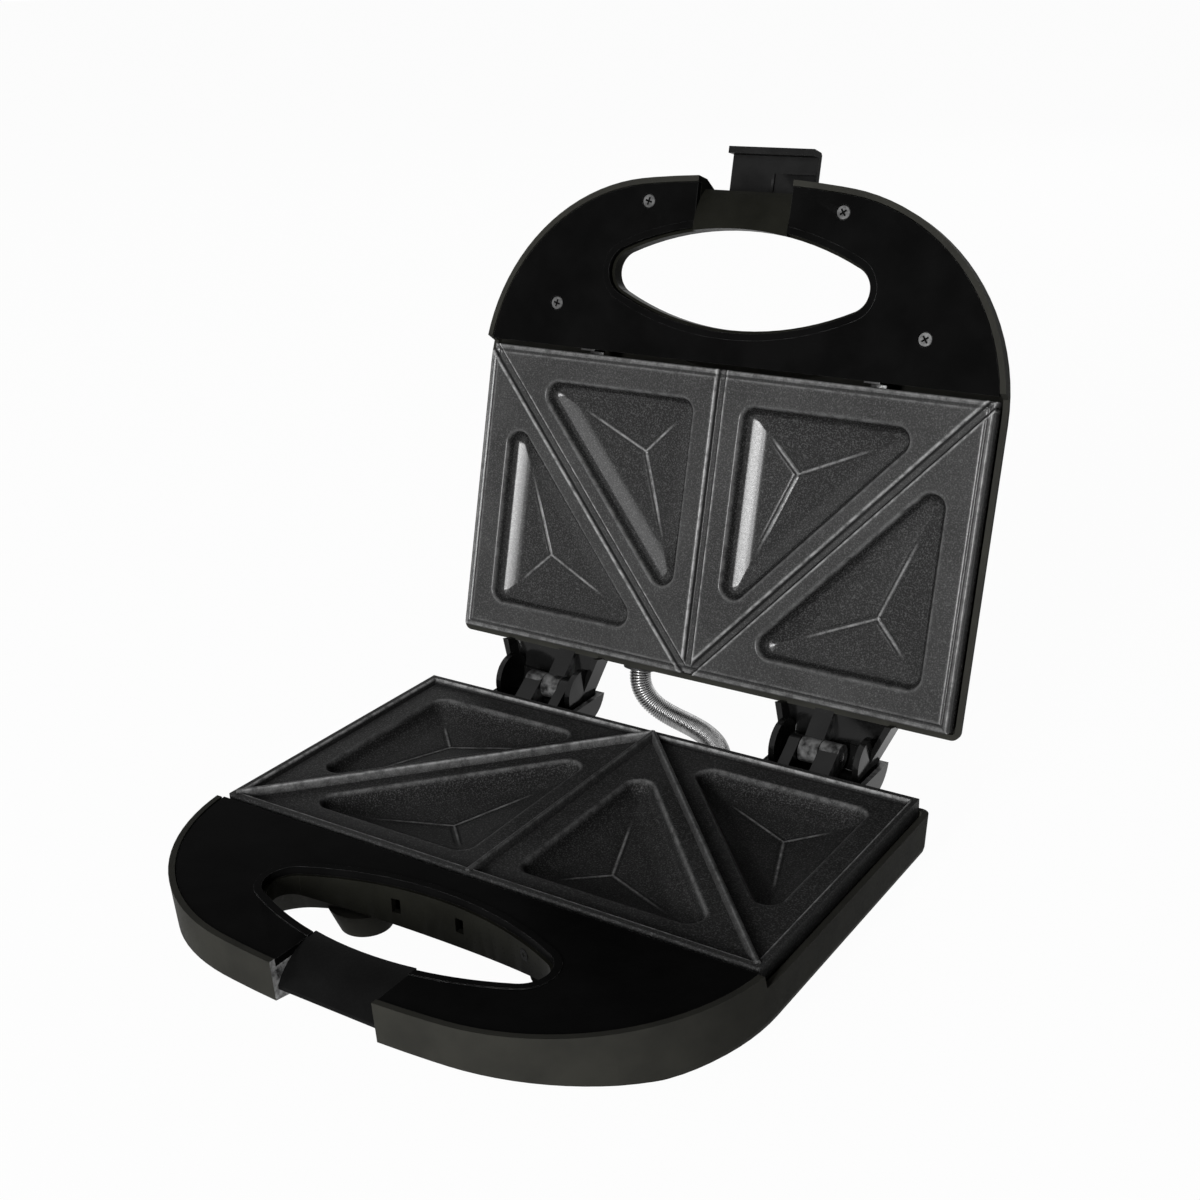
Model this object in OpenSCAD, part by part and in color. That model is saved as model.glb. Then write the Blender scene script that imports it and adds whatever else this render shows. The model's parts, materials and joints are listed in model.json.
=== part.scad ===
/* [Casing] */
// Width of the casings' border beside the plates
casing_side = 4; // [3.8:0.1:12]
// How far the handles reach in front of the plates
handle_run = 74; // [70:0.5:84]
// How far the casings reach behind the plates
casing_back = 3.5; // [3:0.5:6]
// Radius of the large front corners
corner_r = 80; // [74:1:84]
// How far the front bulges out between those corners
bow_rise = 2; // [1.5:0.25:5]
// Radius of the small rear corners
rear_corner_r = 4; // [3:0.5:8]
// Thickness of the casing walls
wall = 2.2; // [1.8:0.1:2.6]
// Depth of the base casing under the parting plane
base_drop = 23; // [22:0.5:28]
// Depth of the base casing at its front edge
base_front_drop = 14.5; // [13:0.5:17]
// How far in front of the plates the base's floor starts to rise
rise_run = 26; // [20:1:34]
// Draft of the base walls over their height
base_draft = 1.2; // [0.5:0.1:2.5]
// Rounding between the base walls and floor
base_edge_r = 4; // [2:0.5:6]
// How far the side rims lie from the parting plane
side_rim = 5.5; // [4:0.5:7]
// Height of the lid at its crown
lid_rise = 30; // [28:1:36]
// Height of the lid at its front edge
lid_front_rise = 17; // [16:0.5:20]
// How far behind the plates' front edge the lid's top starts to fall
fall_inset = 6; // [0:1:16]
// Height at which the lid's walls turn into its dome
lid_wall_h = 18; // [14:1:20]
// Draft of the lid walls over their height
lid_draft = 5.5; // [3:0.5:8]
// Height of the lid's straighter lower walls
lid_foot_h = 7.5; // [7:0.25:9]
// Draft of those lower walls
lid_foot_draft = 0.6; // [0.4:0.1:1]
// Width of the lid's domed border
dome_w = 44; // [30:1:50]

/* [Plates] */
// Width of both cooking plates
plate_w = 222; // [216:1:222]
// Depth of both cooking plates
plate_d = 122; // [118:1:122]
// Thickness of the cast plates
plate_t = 2.6; // [2.2:0.1:3]
// Height of the skirt round each plate
plate_skirt = 7; // [6.5:0.25:8]
// Width of the raised rim round the base plate
rim_w = 3.2; // [2.5:0.1:5]
// Height of that rim over the plate's face
rim_h = 2.2; // [1.5:0.1:3]
// Width of the ribs that cut the bread
rib_w = 3; // [2:0.1:4]
// How far the ribs stand over the parting plane
rib_lead = 1; // [0.5:0.1:1.4]
// Depth of the grooves that take the ribs
groove_h = 1.9; // [1.7:0.1:2.1]
// Depth of the pockets at the foot of their walls
pocket_depth = 6.5; // [5:0.5:7]
// Extra depth at the middle of each pocket
pocket_sink = 1.5; // [0.5:0.25:2]
// Land between a pocket and the plate's edges
pocket_land = 12.5; // [11:0.5:15]
// Land between a pocket and the middle rib
middle_land = 10.5; // [9:0.5:13]
// Land between a pocket and the diagonal rib
diagonal_land = 8; // [7:0.5:10]
// Corner radius of the pockets
pocket_r = 6; // [4:0.5:8]
// How far the pocket walls lean in
pocket_lean = 5; // [3:0.5:5]

/* [Handles] */
// Half length of the hand opening
grip_a = 57.3; // [50:0.5:60]
// Half height of the hand opening
grip_b = 20.5; // [18:0.5:21]
// Radius of the ends of the hand opening
grip_end_r = 10; // [8:0.5:12]
// Distance from the front edge to the hand opening
bar_run = 20; // [18.5:0.1:21.5]
// Thickness of the handle panels
panel_t = 2.5; // [2:0.1:3]
// Gap between a panel and the casing round it
panel_fit = 0.15; // [0.1:0.05:0.4]
// Gap between a panel and the cooking plate
panel_gap = 2; // [1.5:0.1:3]
// Depth of the panels' faces behind the parting plane
panel_set = 0.6; // [0.5:0.1:1]
// Width of the lip round the hand opening
lip_w = 2.6; // [1.5:0.1:3]
// Height of that lip
lip_h = 0.4; // [0.2:0.05:0.45]
// Half spacing of the inner panel screws
screw_in_x = 42.3; // [36:0.1:46]
// Distance of the inner panel screws from the front edge
screw_in_front = 11.5; // [11:0.1:13]
// Distance of the outer panel screws from the casing's side
screw_out_side = 33.9; // [29:0.1:37]
// How far in front of the plates the outer panel screws lie
screw_out_run = 19.2; // [14:0.1:24]
// Radius of the panel screws' heads
screw_head_r = 2.8; // [2.5:0.1:3.1]
// Length of the panel screws' shanks under the panel
screw_grip = 8; // [6:0.5:8.5]
// Radius of the panel screws' shanks
screw_r = 1.4; // [1.2:0.05:1.6]
// Depth of the finger scoop under the middle of the base's hand opening
base_scoop = 4.3; // [3:0.1:6]
// Depth of that scoop at the ends of the opening
base_scoop_end = 14; // [10:0.5:14.5]
// Height of the lid's hand opening wall
lid_grip_h = 9; // [8:0.5:12]

/* [Latch] */
// Width of the notch for the latch
notch_w = 41; // [38:0.5:46]
// Gap between the latch and each side of its notch
latch_gap = 1.7; // [1:0.1:2.5]
// Radius of the rounded bar at the bottom of the notch
bar_r = 20; // [19:0.5:22]
// Distance of the latch's pivot from the front edge
latch_front = 12; // [11:0.1:13]
// Height of the latch's pivot over the parting plane
latch_z = 11; // [10.6:0.1:12]
// Distance from the pivot to the latch's plate
latch_offset = 12.5; // [12:0.1:14]
// Thickness of the latch's plate
latch_t = 2.6; // [2:0.1:3]
// Radius of the latch's pin
latch_pin_r = 1.25; // [1:0.05:1.5]
// Thickness of the latch's hook
hook_t = 2.2; // [1.6:0.1:2.6]
// Depth of the latch's hook
hook_depth = 4.6; // [4:0.1:5]

/* [Hinge] */
// Angle of the open lid
open_angle = 105; // [95:1:108]
// Distance of the hinge axis behind the plates
hinge_back = 17.5; // [17:0.1:19]
// Height of the hinge axis over the parting plane
hinge_z = -1; // [-1.5:0.1:-0.5]
// Radius of the hinge pins
pin_r = 1.75; // [1.5:0.05:2]
// Running gap round the pins
pin_fit = 0.06; // [0.03:0.01:0.1]
// Outer radius of the hinge knuckles
knuckle_r = 5; // [4.5:0.1:5.5]
// Gap between neighbouring knuckles
knuckle_gap = 0.4; // [0.3:0.05:0.6]
// Outer radius of the lid's hinge cover
cover_r = 10; // [9.7:0.1:10.4]
// Gap between the hinge cover and the base's cradle
cradle_gap = 0.7; // [0.5:0.1:0.9]
// Wall of the base's cradle
cradle_t = 2.2; // [1.8:0.1:2.2]

/* [Feet] */
// Half spacing of the feet from side to side
foot_x = 44; // [42:1:60]
// How far the front feet lie in front of the plates
foot_run = 4; // [0:0.5:5]
// Reach of the rear feet
foot_rear = 9; // [9:1:20]
// Height of the foot bosses
foot_h = 9; // [7:0.5:11]
// Radius of the foot bosses where they leave the floor
foot_top_r = 13.5; // [12:0.5:14]
// Radius of the foot bosses at their end
foot_r = 9.5; // [9:0.5:11]
// Radius of the rubber pads
pad_r = 7.5; // [6:0.5:9]
// How far the pads stand out of the bosses
pad_out = 1; // [0.6:0.1:2]

/* [Heating] */
// Radius of the heating tubes
heater_r = 3; // [2.5:0.1:3.2]
// Half width of the heating loops
heater_x = 80; // [70:1:84]
// Radius of the bends in the heating loops
heater_bend = 15; // [12:1:20]
// Thickness of the reflector sheets
sheet_t = 0.6; // [0.5:0.05:0.8]
// Radius of the thermostat
thermostat_r = 8; // [6:0.5:9]
// Height of the thermostat's can
thermostat_h = 7; // [5:0.5:8]
// Radius of the pilot lenses
lens_r = 3.5; // [2.5:0.1:4.5]
// Half spacing of the pilot lenses
lens_x = 9; // [7:0.5:14]

/* [Conduit] */
// Outer radius of the spring conduit
conduit_r = 4.5; // [4.2:0.1:4.6]
// Radius of the conduit's wire
wire_r = 0.4; // [0.35:0.01:0.42]
// Advance of the conduit's wire per curl
curl_pitch = 1.9; // [1.88:0.01:2.1]
// Radius of the lead bundle in the conduit
bundle_r = 2.8; // [2:0.1:3]
// Place of the conduit in the lid, to the left of the middle
conduit_lid_x = 27.5; // [26:0.5:29]
// Place of the conduit in the base, to the right of the middle
conduit_base_x = 23.5; // [22:0.5:25]

/* [Hidden] */
eps = 0.01;
fine = 96;

casing_w = plate_w + 2 * casing_side;
sleeve_inset = 1.2;
front_y = -plate_d - handle_run;
bar_y = front_y + bar_run;
grip_y = bar_y - sleeve_inset + grip_b;
bow_depth = corner_r + bow_rise;
corner_y = front_y + bow_depth;
corner_x = casing_w / 2 - corner_r;
rise_start = plate_d + rise_run;
fall_start = plate_d - fall_inset;
foot_front = plate_d + foot_run;
bow_r = (pow(bow_depth, 2) + pow(corner_x, 2) - pow(corner_r, 2)) / (2 * (bow_depth - corner_r));
foot_mid = -(foot_front + foot_rear) / 2;
stand_z = base_drop + foot_h + pad_out;

panel_edge = -plate_d - panel_gap;
front_rim = 0.2;
base_face = -rim_h;
base_under = base_face - plate_t;
lid_face = 0.5;
lid_under = lid_face + plate_t;
base_panel_top = -panel_set;
base_seat = base_panel_top - panel_t;
lid_panel_face = lid_face + panel_set;
lid_seat = lid_panel_face + panel_t;
panel_inset = wall + panel_fit + lid_foot_draft * (lid_seat - lid_face) / (lid_foot_h - lid_face);
pocket_low = pocket_depth + pocket_sink + plate_t;
heater_gap = 0.2;
base_heater_z = base_face - pocket_low - heater_gap - heater_r;
lid_heater_z = lid_face + pocket_low + heater_gap + heater_r;
base_sheet_z = base_heater_z - heater_r - heater_gap - sheet_t;
lid_sheet_z = lid_heater_z + heater_r + heater_gap;
sheet_inset = 13;
sheet_flange = 6;
heater_land = 22;
heater_end = 14;
post_r = 3;
post_inset = 6;
stud_r = 3.2;
small_screw_r = 1.2;
small_head_r = 2.6;
small_head_h = 0.8;
screw_fit = 0.06;
clip_x = 63;
clip_w = 6.5;
base_clip_drop = 1.4;
clip_t = 0.8;
clip_fit = 0.1;

notch_x = notch_w / 2;
bar_top = 0.5;
base_bar_end = front_y + 3;
lid_bar_end = front_y + 5;
ledge_t = 1.4;
ledge_z = -bar_top - bar_r + sqrt(pow(bar_r, 2) - pow(base_bar_end - bar_y, 2)) - ledge_t;
latch_y = front_y + latch_front;
latch_x = notch_x - latch_gap;
hub_r = 3;
hub_gap = 0.8;
lid_bar_top = latch_z - hub_r - hub_gap;
hook_gap = 0.4;
latch_len = latch_z - ledge_z + hook_gap + hook_t;
cheek_t = 3;

grip_end_x = grip_a - grip_end_r;
grip_side_r = (pow(grip_end_x, 2) + pow(grip_b, 2) - pow(grip_end_r, 2)) / (2 * (grip_b - grip_end_r));
grip_tangent = grip_end_x * grip_side_r / (grip_side_r - grip_end_r);

pod_in = 46;
pod_out = 83.5;
pod_flare_in = 40.5;
pod_flare_out = 90.7;
pod_wall = 2.4;
cradle_r = cover_r + cradle_gap;
cradle_side = 2;
cradle_top = hinge_z - 4;
lid_knuckle_x = 56;
lid_knuckle_w = 8;
inner_lug_w = 4.6;
outer_lug_w = 8;
inner_lug_x = lid_knuckle_x - knuckle_gap - inner_lug_w;
outer_lug_x = lid_knuckle_x + lid_knuckle_w + knuckle_gap;

boss_r = 4;
recess = 1;
panel_skin = 0.7;
base_head_z = base_seat - screw_grip - 1;
stud_grip = 7;
lid_flare_in = 2;
lid_flare_out = 16;
slot_spots = [-18, 8];
slot_w = 3.4;
slot_h = 5.4;
slot_z = -10.1;
lens_gap = 0.1;
lens_y = heater_land - plate_d;
block_x = -grip_a - 17;
block_run = 31;
block_w = 12.5;
block_d = 12;
block_h = 9;
block_y = front_y + block_run + block_d / 2;
floor_slope = (base_drop - base_front_drop) / (-front_y - rise_start);
block_z = wall + 0.8 - base_front_drop - floor_slope * block_run;
gland_x = -20;
gland_z = -13;
gland_r = 4.4;
collar_wall = 1.4;
collar_fit = 0.15;
collar_r = conduit_r + collar_fit + collar_wall;
base_exit_z = -12.8;
lid_exit_z = 12.8;
seat_wall = 1.2;
skirt_clear = 0.3;
exit_run = 2 * conduit_r;

// Outline of both casings, drawn inward by an inset
module outline(inset = 0) {
    half = casing_w / 2 - inset;
    tangent_x = corner_x * (bow_r - inset) / (bow_r - corner_r);
    rear_r = max(rear_corner_r - inset, 1);
    back = casing_back - inset;
    intersection() {
        translate([0, front_y + bow_r]) circle(r = bow_r - inset, $fn = 240);
        union() {
            for (side = [-1, 1])
                translate([side * corner_x, corner_y]) circle(r = corner_r - inset, $fn = fine);
            translate([-tangent_x, front_y]) square([2 * tangent_x, corner_y - front_y + 1]);
            translate([-half, corner_y]) square([2 * half, back - rear_r - corner_y]);
            translate([rear_r - half, corner_y]) square([2 * (half - rear_r), back - corner_y]);
            for (side = [-1, 1])
                translate([side * (half - rear_r), back - rear_r]) circle(r = rear_r, $fn = 32);
        }
    }
}

// Convex body through stacked outlines, each given as height and inset
module loft(levels, extra = 0) {
    hull()
        for (level = levels)
            translate([0, 0, level[0]]) linear_extrude(eps) outline(level[1] + extra);
}

function base_levels(shift = 0) = concat([[0, 0]],
    [for (a = [0:30:90])
        [-base_drop + shift + base_edge_r * (1 - sin(a)), base_draft + base_edge_r * (1 - cos(a))]]);

function lid_levels(shift = 0) = concat([[lid_face, 0], [lid_foot_h, lid_foot_draft]],
    [for (a = [0:15:90])
        [lid_wall_h - shift + (lid_rise - lid_wall_h) * sin(a), lid_draft + dome_w * (1 - cos(a))]]);

// Side profile, given as points of y and z, run across the whole width
module across(points, x0 = -casing_w / 2 - 1, x1 = casing_w / 2 + 1) {
    translate([x0, 0, 0]) rotate([90, 0, 90]) linear_extrude(x1 - x0) polygon(points);
}

// One of the two long arcs of the hand opening
module long_arc(side, grow) {
    translate([0, side * (grip_side_r - grip_b)]) circle(r = grip_side_r + grow, $fn = 240);
}

// Oval of four tangent arcs for the hand opening
module grip(grow = 0) {
    translate([0, grip_y]) {
        intersection() {
            long_arc(-1, grow);
            long_arc(1, grow);
            square([2 * grip_tangent, 4 * grip_b], center = true);
        }
        for (side = [-1, 1])
            translate([side * grip_end_x, 0]) circle(r = grip_end_r + grow, $fn = fine);
    }
}

// Straight cylinder along X between two places
module rod(x0, x1, r, y = 0, z = 0) {
    translate([x0, y, z]) rotate([0, 90, 0]) cylinder(r = r, h = x1 - x0, $fn = 64);
}

// Puts a piece of the base on the table's plane
module in_base() {
    translate([0, -foot_mid, stand_z]) children();
}

// Swings a piece of the closed lid to the open pose
module in_lid() {
    in_base()
        translate([0, hinge_back, hinge_z])
            rotate([-open_angle, 0, 0])
                translate([0, -hinge_back, -hinge_z]) children();
}

// Repeats children on the left and the right
module both_sides() {
    children();
    mirror([1, 0, 0]) children();
}

// Places of the panel screws on the right half
screw_spots = [[screw_in_x, front_y + screw_in_front],
    [casing_w / 2 - screw_out_side, -plate_d - screw_out_run]];

// Places of the reflector screws
stud_spots = [[0, -plate_d / 2], [-plate_w / 4, -plate_d / 2], [plate_w / 4, -plate_d / 2]];

// Places of the corner posts under a plate, on the right half
post_spots = [[plate_w / 2 - post_inset, -post_inset], [plate_w / 2 - post_inset, post_inset - plate_d]];

// Upright walls and bosses that stay when a casing is hollowed
module casing_cores(z0, z1) {
    translate([-casing_w / 2 + wall - 0.1, panel_edge - wall, z0])
        cube([casing_w - 2 * wall + 0.2, wall, z1 - z0]);
    translate([0, 0, z0]) linear_extrude(z1 - z0) grip(wall - sleeve_inset);
    both_sides() {
        translate([notch_x, front_y, z0]) cube([cheek_t, bar_y + 2 - front_y, z1 - z0]);
        for (spot = screw_spots)
            translate([spot[0], spot[1], z0]) cylinder(r = boss_r, h = z1 - z0, $fn = 48);
    }
}

// Rounded bar across the notch, as an upper half
module notch_bar(end_y, low) {
    intersection() {
        union() {
            rod(-notch_x, notch_x, bar_r, bar_y, -bar_top - bar_r);
            translate([-notch_x, bar_y, low]) cube([notch_w, 3, -bar_top - low]);
        }
        translate([-notch_x - 1, end_y, low]) cube([notch_w + 2, bar_y + 3 - end_y, -low]);
    }
}

// Bores for the panel screws, pointing down from the panel
module screw_bores(z0, z1) {
    both_sides()
        for (spot = screw_spots)
            translate([spot[0], spot[1], z0]) cylinder(r = screw_r + screw_fit, h = z1 - z0, $fn = 32);
}

// Finger scoop round the hand opening, from a small oval to a wide one
module scoop(z0, z1, grow0, grow1) {
    hull() {
        translate([0, 0, z0]) linear_extrude(eps) grip(grow0);
        translate([0, 0, z1]) linear_extrude(eps) grip(grow1);
    }
}

// Finger scoop under the base's handle, shallow in the middle and deep at the ends of the opening
module base_hollow(extra) {
    low = -base_drop - 1;
    rise = (base_scoop_end - base_scoop) / pow(grip_a, 2);
    intersection() {
        scoop(base_scoop_end - base_drop + extra, low, 1.5 + extra, 11 + extra);
        rotate([90, 0, 0]) linear_extrude(2 * plate_d + 2 * handle_run)
            polygon(concat([[-grip_a - 20, low], [-grip_a - 20, base_scoop_end - base_drop + extra + 1]],
                [for (x = [-grip_a:grip_a / 12:grip_a + eps])
                    [x, base_scoop - base_drop + extra + rise * x * x]],
                [[grip_a + 20, base_scoop_end - base_drop + extra + 1], [grip_a + 20, low]]));
    }
}

// Half-round cradle for one hinge, with the base's two knuckles
module base_cradle() {
    x0 = pod_in - cradle_side - cradle_gap;
    x1 = pod_out + cradle_side + cradle_gap;
    outer_r = cradle_r + cradle_t;
    difference() {
        union() {
            rod(x0, x1, outer_r, hinge_back, hinge_z);
            translate([x0, casing_back - 1, hinge_z - outer_r])
                cube([x1 - x0, hinge_back - casing_back + 1, outer_r - hinge_z - side_rim]);
        }
        rod(x0 + cradle_side, x1 - cradle_side, cradle_r, hinge_back, hinge_z);
        translate([x0 - 1, casing_back - 2, cradle_top]) cube([x1 - x0 + 2, 60, 60]);
        translate([x0 - 1, casing_back, -side_rim]) cube([x1 - x0 + 2, 5, 60]);
    }
    for (lug = [[inner_lug_x, inner_lug_w], [outer_lug_x, outer_lug_w]])
        difference() {
            union() {
                rod(lug[0], lug[0] + lug[1], knuckle_r, hinge_back, hinge_z);
                across([[casing_back - 1, -side_rim], [hinge_back - 1.5, hinge_z + knuckle_r * 0.95],
                    [hinge_back + 1.5, hinge_z - knuckle_r * 0.95], [casing_back - 1, -side_rim - 7]],
                    lug[0], lug[0] + lug[1]);
            }
            rod(lug[0] - 1, lug[0] + lug[1] + 1, pin_r + pin_fit, hinge_back, hinge_z);
        }
}

// Foot boss with a recess for its pad, hanging from the floor
module foot_boss() {
    difference() {
        translate([0, 0, -base_drop - foot_h])
            cylinder(r1 = foot_r, r2 = foot_top_r, h = foot_h + wall / 2, $fn = 64);
        translate([0, 0, -base_drop - foot_h - 1]) cylinder(r = pad_r + 0.1, h = 1 + recess, $fn = 48);
    }
}

module foot_places() {
    for (x = [-foot_x, foot_x])
        for (y = [-foot_front, -foot_rear])
            translate([x, y, 0]) children();
}

module base_profile(inset = 0, top = 1) {
    across([[casing_back + 1, top], [casing_back + 1, inset - base_drop], [-rise_start, inset - base_drop],
        [front_y, inset - base_front_drop], [front_y - 1, inset - base_front_drop], [front_y - 1, top]]);
}

module base_tub() {
    difference() {
        intersection() {
            loft(base_levels());
            base_profile();
        }
        across([[casing_back + 2, 1], [casing_back + 2, -side_rim], [panel_edge + 1, -side_rim],
            [panel_edge - 1, -front_rim], [front_y - 2, -front_rim], [front_y - 2, 1]]);
        difference() {
            intersection() {
                loft(base_levels(wall), wall);
                base_profile(wall, 2);
            }
            casing_cores(-base_drop, base_seat);
            base_hollow(wall);
            both_sides()
                for (spot = post_spots)
                    translate([spot[0], spot[1], -base_drop])
                        cylinder(r = post_r, h = base_drop + base_under, $fn = 32);
            for (x = [-plate_w / 3, plate_w / 3])
                for (y = [-plate_d / 3, -plate_d * 2 / 3])
                    translate([x, y, -base_drop])
                        cylinder(r = 2 * post_r, h = base_drop + base_sheet_z, $fn = 32);
            translate([block_x - block_w / 2, block_y - block_d / 2, -base_drop])
                cube([block_w, block_d, base_drop + block_z]);
        }
        translate([0, 0, -base_drop - 1]) linear_extrude(base_drop + 2) grip(-sleeve_inset);
        base_hollow(0);
        translate([-notch_x, front_y - 2, -base_drop - 1])
            cube([notch_w, bar_y + 3 - front_y, base_drop + 2]);
    }
}

module base_casing() {
    color("#26261f") in_base() {
        difference() {
            union() {
                base_tub();
                difference() {
                    intersection() {
                        notch_bar(base_bar_end, -base_drop);
                        base_profile();
                    }
                    translate([-notch_x - 1, front_y, -base_drop])
                        cube([notch_w + 2, bar_y - 2 * wall - front_y, base_drop + ledge_z]);
                    translate([0, 0, -base_drop]) linear_extrude(base_drop + 1) grip(-sleeve_inset);
                }
                foot_places() foot_boss();
                wall_seat(collar_r, conduit_base_x, casing_back, base_exit_z);
                wall_seat(gland_r, gland_x, casing_back, gland_z);
            }
            screw_bores(base_head_z - 1, base_seat + 1);
            both_sides()
                for (spot = screw_spots)
                    translate([spot[0], spot[1], -base_drop - 1])
                        cylinder(r = screw_head_r + 0.15, h = base_drop + 1 + base_head_z, $fn = 48);
            for (x = slot_spots)
                translate([x - slot_w / 2, grip_y + grip_b / 2, slot_z - slot_h / 2])
                    cube([slot_w, grip_b, slot_h]);
            rod_y(casing_back - 6, casing_back + 1, collar_r + 0.1, conduit_base_x, base_exit_z);
            rod_y(casing_back - 6, casing_back + 1, gland_r + 0.1, gland_x, gland_z);
        }
        both_sides() base_cradle();
    }
}

// Straight cylinder along Y between two places
module rod_y(y0, y1, r, x, z) {
    translate([x, y1, z]) rotate([90, 0, 0]) cylinder(r = r, h = y1 - y0, $fn = 64);
}

// Glossy panel over a handle, face up at z = 0, its screws set in its face or come from behind
module panel_plate(through) {
    difference() {
        translate([0, 0, -panel_t]) linear_extrude(panel_t) panel_outline();
        screw_bores(-panel_t - 1, through ? 1 : -panel_skin);
        if (through)
            both_sides()
                for (spot = screw_spots)
                    translate([spot[0], spot[1], -recess])
                        cylinder(r = screw_head_r + 0.15, h = recess + 1, $fn = 48);
    }
    linear_extrude(lip_h) difference() {
        grip(lip_w);
        grip(0);
        notch_square();
    }
}

module panel_outline() {
    difference() {
        intersection() {
            outline(panel_inset);
            translate([-casing_w / 2, front_y]) square([casing_w, panel_edge - front_y]);
        }
        grip(0);
        notch_square();
    }
}

module notch_square() {
    translate([-notch_x - panel_fit / 2, front_y - 1])
        square([notch_w + panel_fit, grip_y - front_y]);
}

// Screws through a panel, heads down by the recess under z = 0
module panel_screws() {
    both_sides()
        for (spot = screw_spots)
            translate([spot[0], spot[1], 0]) {
                translate([0, 0, -recess]) cylinder(r = screw_head_r, h = recess - 0.1, $fn = 48);
                translate([0, 0, -panel_t - screw_grip])
                    cylinder(r = screw_r, h = panel_t + screw_grip - recess, $fn = 32);
            }
}

// Screws from below into the base's panel
module base_screws() {
    both_sides()
        for (spot = screw_spots)
            translate([spot[0], spot[1], base_head_z]) {
                translate([0, 0, -1.2]) cylinder(r = screw_head_r, h = 1.2, $fn = 48);
                translate([0, 0, -0.1])
                    cylinder(r = screw_r, h = base_panel_top - panel_skin - 0.1 - base_head_z, $fn = 32);
            }
}

module base_handle_panel() {
    color("#0b0c0c") in_base() translate([0, 0, base_panel_top]) panel_plate(false);
}

module base_panel_screws() {
    color("#8a8c8e") in_base() base_screws();
}

module lid_handle_panel() {
    color("#0b0c0c") in_lid() translate([0, 0, lid_panel_face]) mirror([0, 0, 1]) panel_plate(true);
}

module lid_panel_screws() {
    color("#8a8c8e") in_lid() translate([0, 0, lid_panel_face]) mirror([0, 0, 1]) panel_screws();
}

// Direction of the left diagonal rib and its two side lines
diagonal = sqrt(pow(plate_w / 2, 2) + pow(plate_d, 2));
run_x = plate_w / 2 / diagonal;
run_y = plate_d / diagonal;
pocket_k = diagonal_land + pocket_r;

// Corner centres of the left outer pocket
outer_x = pocket_land + pocket_r - plate_w / 2;
outer_y = -pocket_land - pocket_r;
outer_corners = [[outer_x, outer_y],
    [outer_x, run_y * (outer_x + pocket_k * run_y) / run_x + pocket_k * run_x],
    [-run_x * (pocket_k * run_x - outer_y) / run_y - pocket_k * run_y, outer_y]];

// Corner centres of the left inner pocket
inner_x = -middle_land - pocket_r;
inner_y = pocket_land + pocket_r - plate_d;
inner_corners = [[inner_x, inner_y],
    [inner_x, -run_y * (pocket_k * run_y - inner_x) / run_x - pocket_k * run_x],
    [run_x * (inner_y + pocket_k * run_x) / run_y + pocket_k * run_y, inner_y]];

function side_length(p, i) = norm(p[(i + 1) % 3] - p[(i + 2) % 3]);
function in_centre(p) = (side_length(p, 0) * p[0] + side_length(p, 1) * p[1] + side_length(p, 2) * p[2])
    / (side_length(p, 0) + side_length(p, 1) + side_length(p, 2));
function outward(p, i) = let (d = p[(i + 1) % 3] - p[i], n = [d[1], -d[0]] / norm(d))
    (in_centre(p) - p[i]) * n > 0 ? -n : n;

// Triangle with round corners, given by the centres of its corners
module round_triangle(p, r) {
    for (c = p) translate(c) circle(r = r, $fn = 32);
    polygon([for (i = [0:2]) each [p[i] + r * outward(p, i), p[(i + 1) % 3] + r * outward(p, i)]]);
}

// Rounded pocket, cut downward from z = 0, with a sunk three-sided floor
module pocket_cut(p) {
    steps = [[1, 0], [0, 0], [-0.45, 0.14], [-0.8, 0.5], [-1, 1]];
    hull() {
        for (step = steps)
            for (c = p)
                translate([c[0], c[1], step[0] > 0 ? 0.5 : step[0] * pocket_depth])
                    cylinder(r = pocket_r - pocket_lean * step[1], h = eps, $fn = 28);
        translate([in_centre(p)[0], in_centre(p)[1], -pocket_depth - pocket_sink])
            cylinder(r = 0.3, h = eps, $fn = 8);
    }
}

// Straight bar with sloping sides from the rear centre of the plate along an angle
module plate_rib(angle, length, foot, crest, z0, z1) {
    rotate([0, 0, angle]) rotate([90, 0, 0]) linear_extrude(length)
        polygon([[-foot / 2, z0], [foot / 2, z0], [crest / 2, z1], [-crest / 2, z1]]);
}

module plate_ribs(foot, crest, z0, z1) {
    diagonal_angle = atan2(plate_w / 2, plate_d);
    intersection() {
        for (angle = [-diagonal_angle, 0, diagonal_angle])
            plate_rib(angle, 2 * plate_d, foot, crest, z0, z1);
        translate([-plate_w / 2, -plate_d, -50]) cube([plate_w, plate_d, 100]);
    }
}

// Cast plate with its face up at z = 0
module cast_plate(skirt_top) {
    difference() {
        union() {
            translate([-plate_w / 2, -plate_d, -plate_t]) cube([plate_w, plate_d, plate_t]);
            difference() {
                translate([-plate_w / 2, -plate_d, skirt_top - plate_skirt])
                    cube([plate_w, plate_d, plate_skirt]);
                translate([plate_t - plate_w / 2, plate_t - plate_d, skirt_top - plate_skirt - 1])
                    cube([plate_w - 2 * plate_t, plate_d - 2 * plate_t, plate_skirt + 2]);
            }
            both_sides()
                for (corners = [outer_corners, inner_corners])
                    translate([0, 0, -pocket_low]) linear_extrude(pocket_low - 1)
                        round_triangle(corners, pocket_r + plate_t / 2);
            for (spot = stud_spots)
                translate([spot[0], spot[1], -pocket_low - heater_gap * 2 - 2 * heater_r])
                    cylinder(r = stud_r, h = pocket_low + 2 * heater_gap + 2 * heater_r - 1, $fn = 32);
        }
        pocket_cut(outer_corners);
        pocket_cut(inner_corners);
        mirror([1, 0, 0]) pocket_cut(outer_corners);
        mirror([1, 0, 0]) pocket_cut(inner_corners);
        for (spot = stud_spots)
            translate([spot[0], spot[1], -pocket_low - 10])
                cylinder(r = small_screw_r + screw_fit, h = 13, $fn = 32);
    }
}

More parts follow.
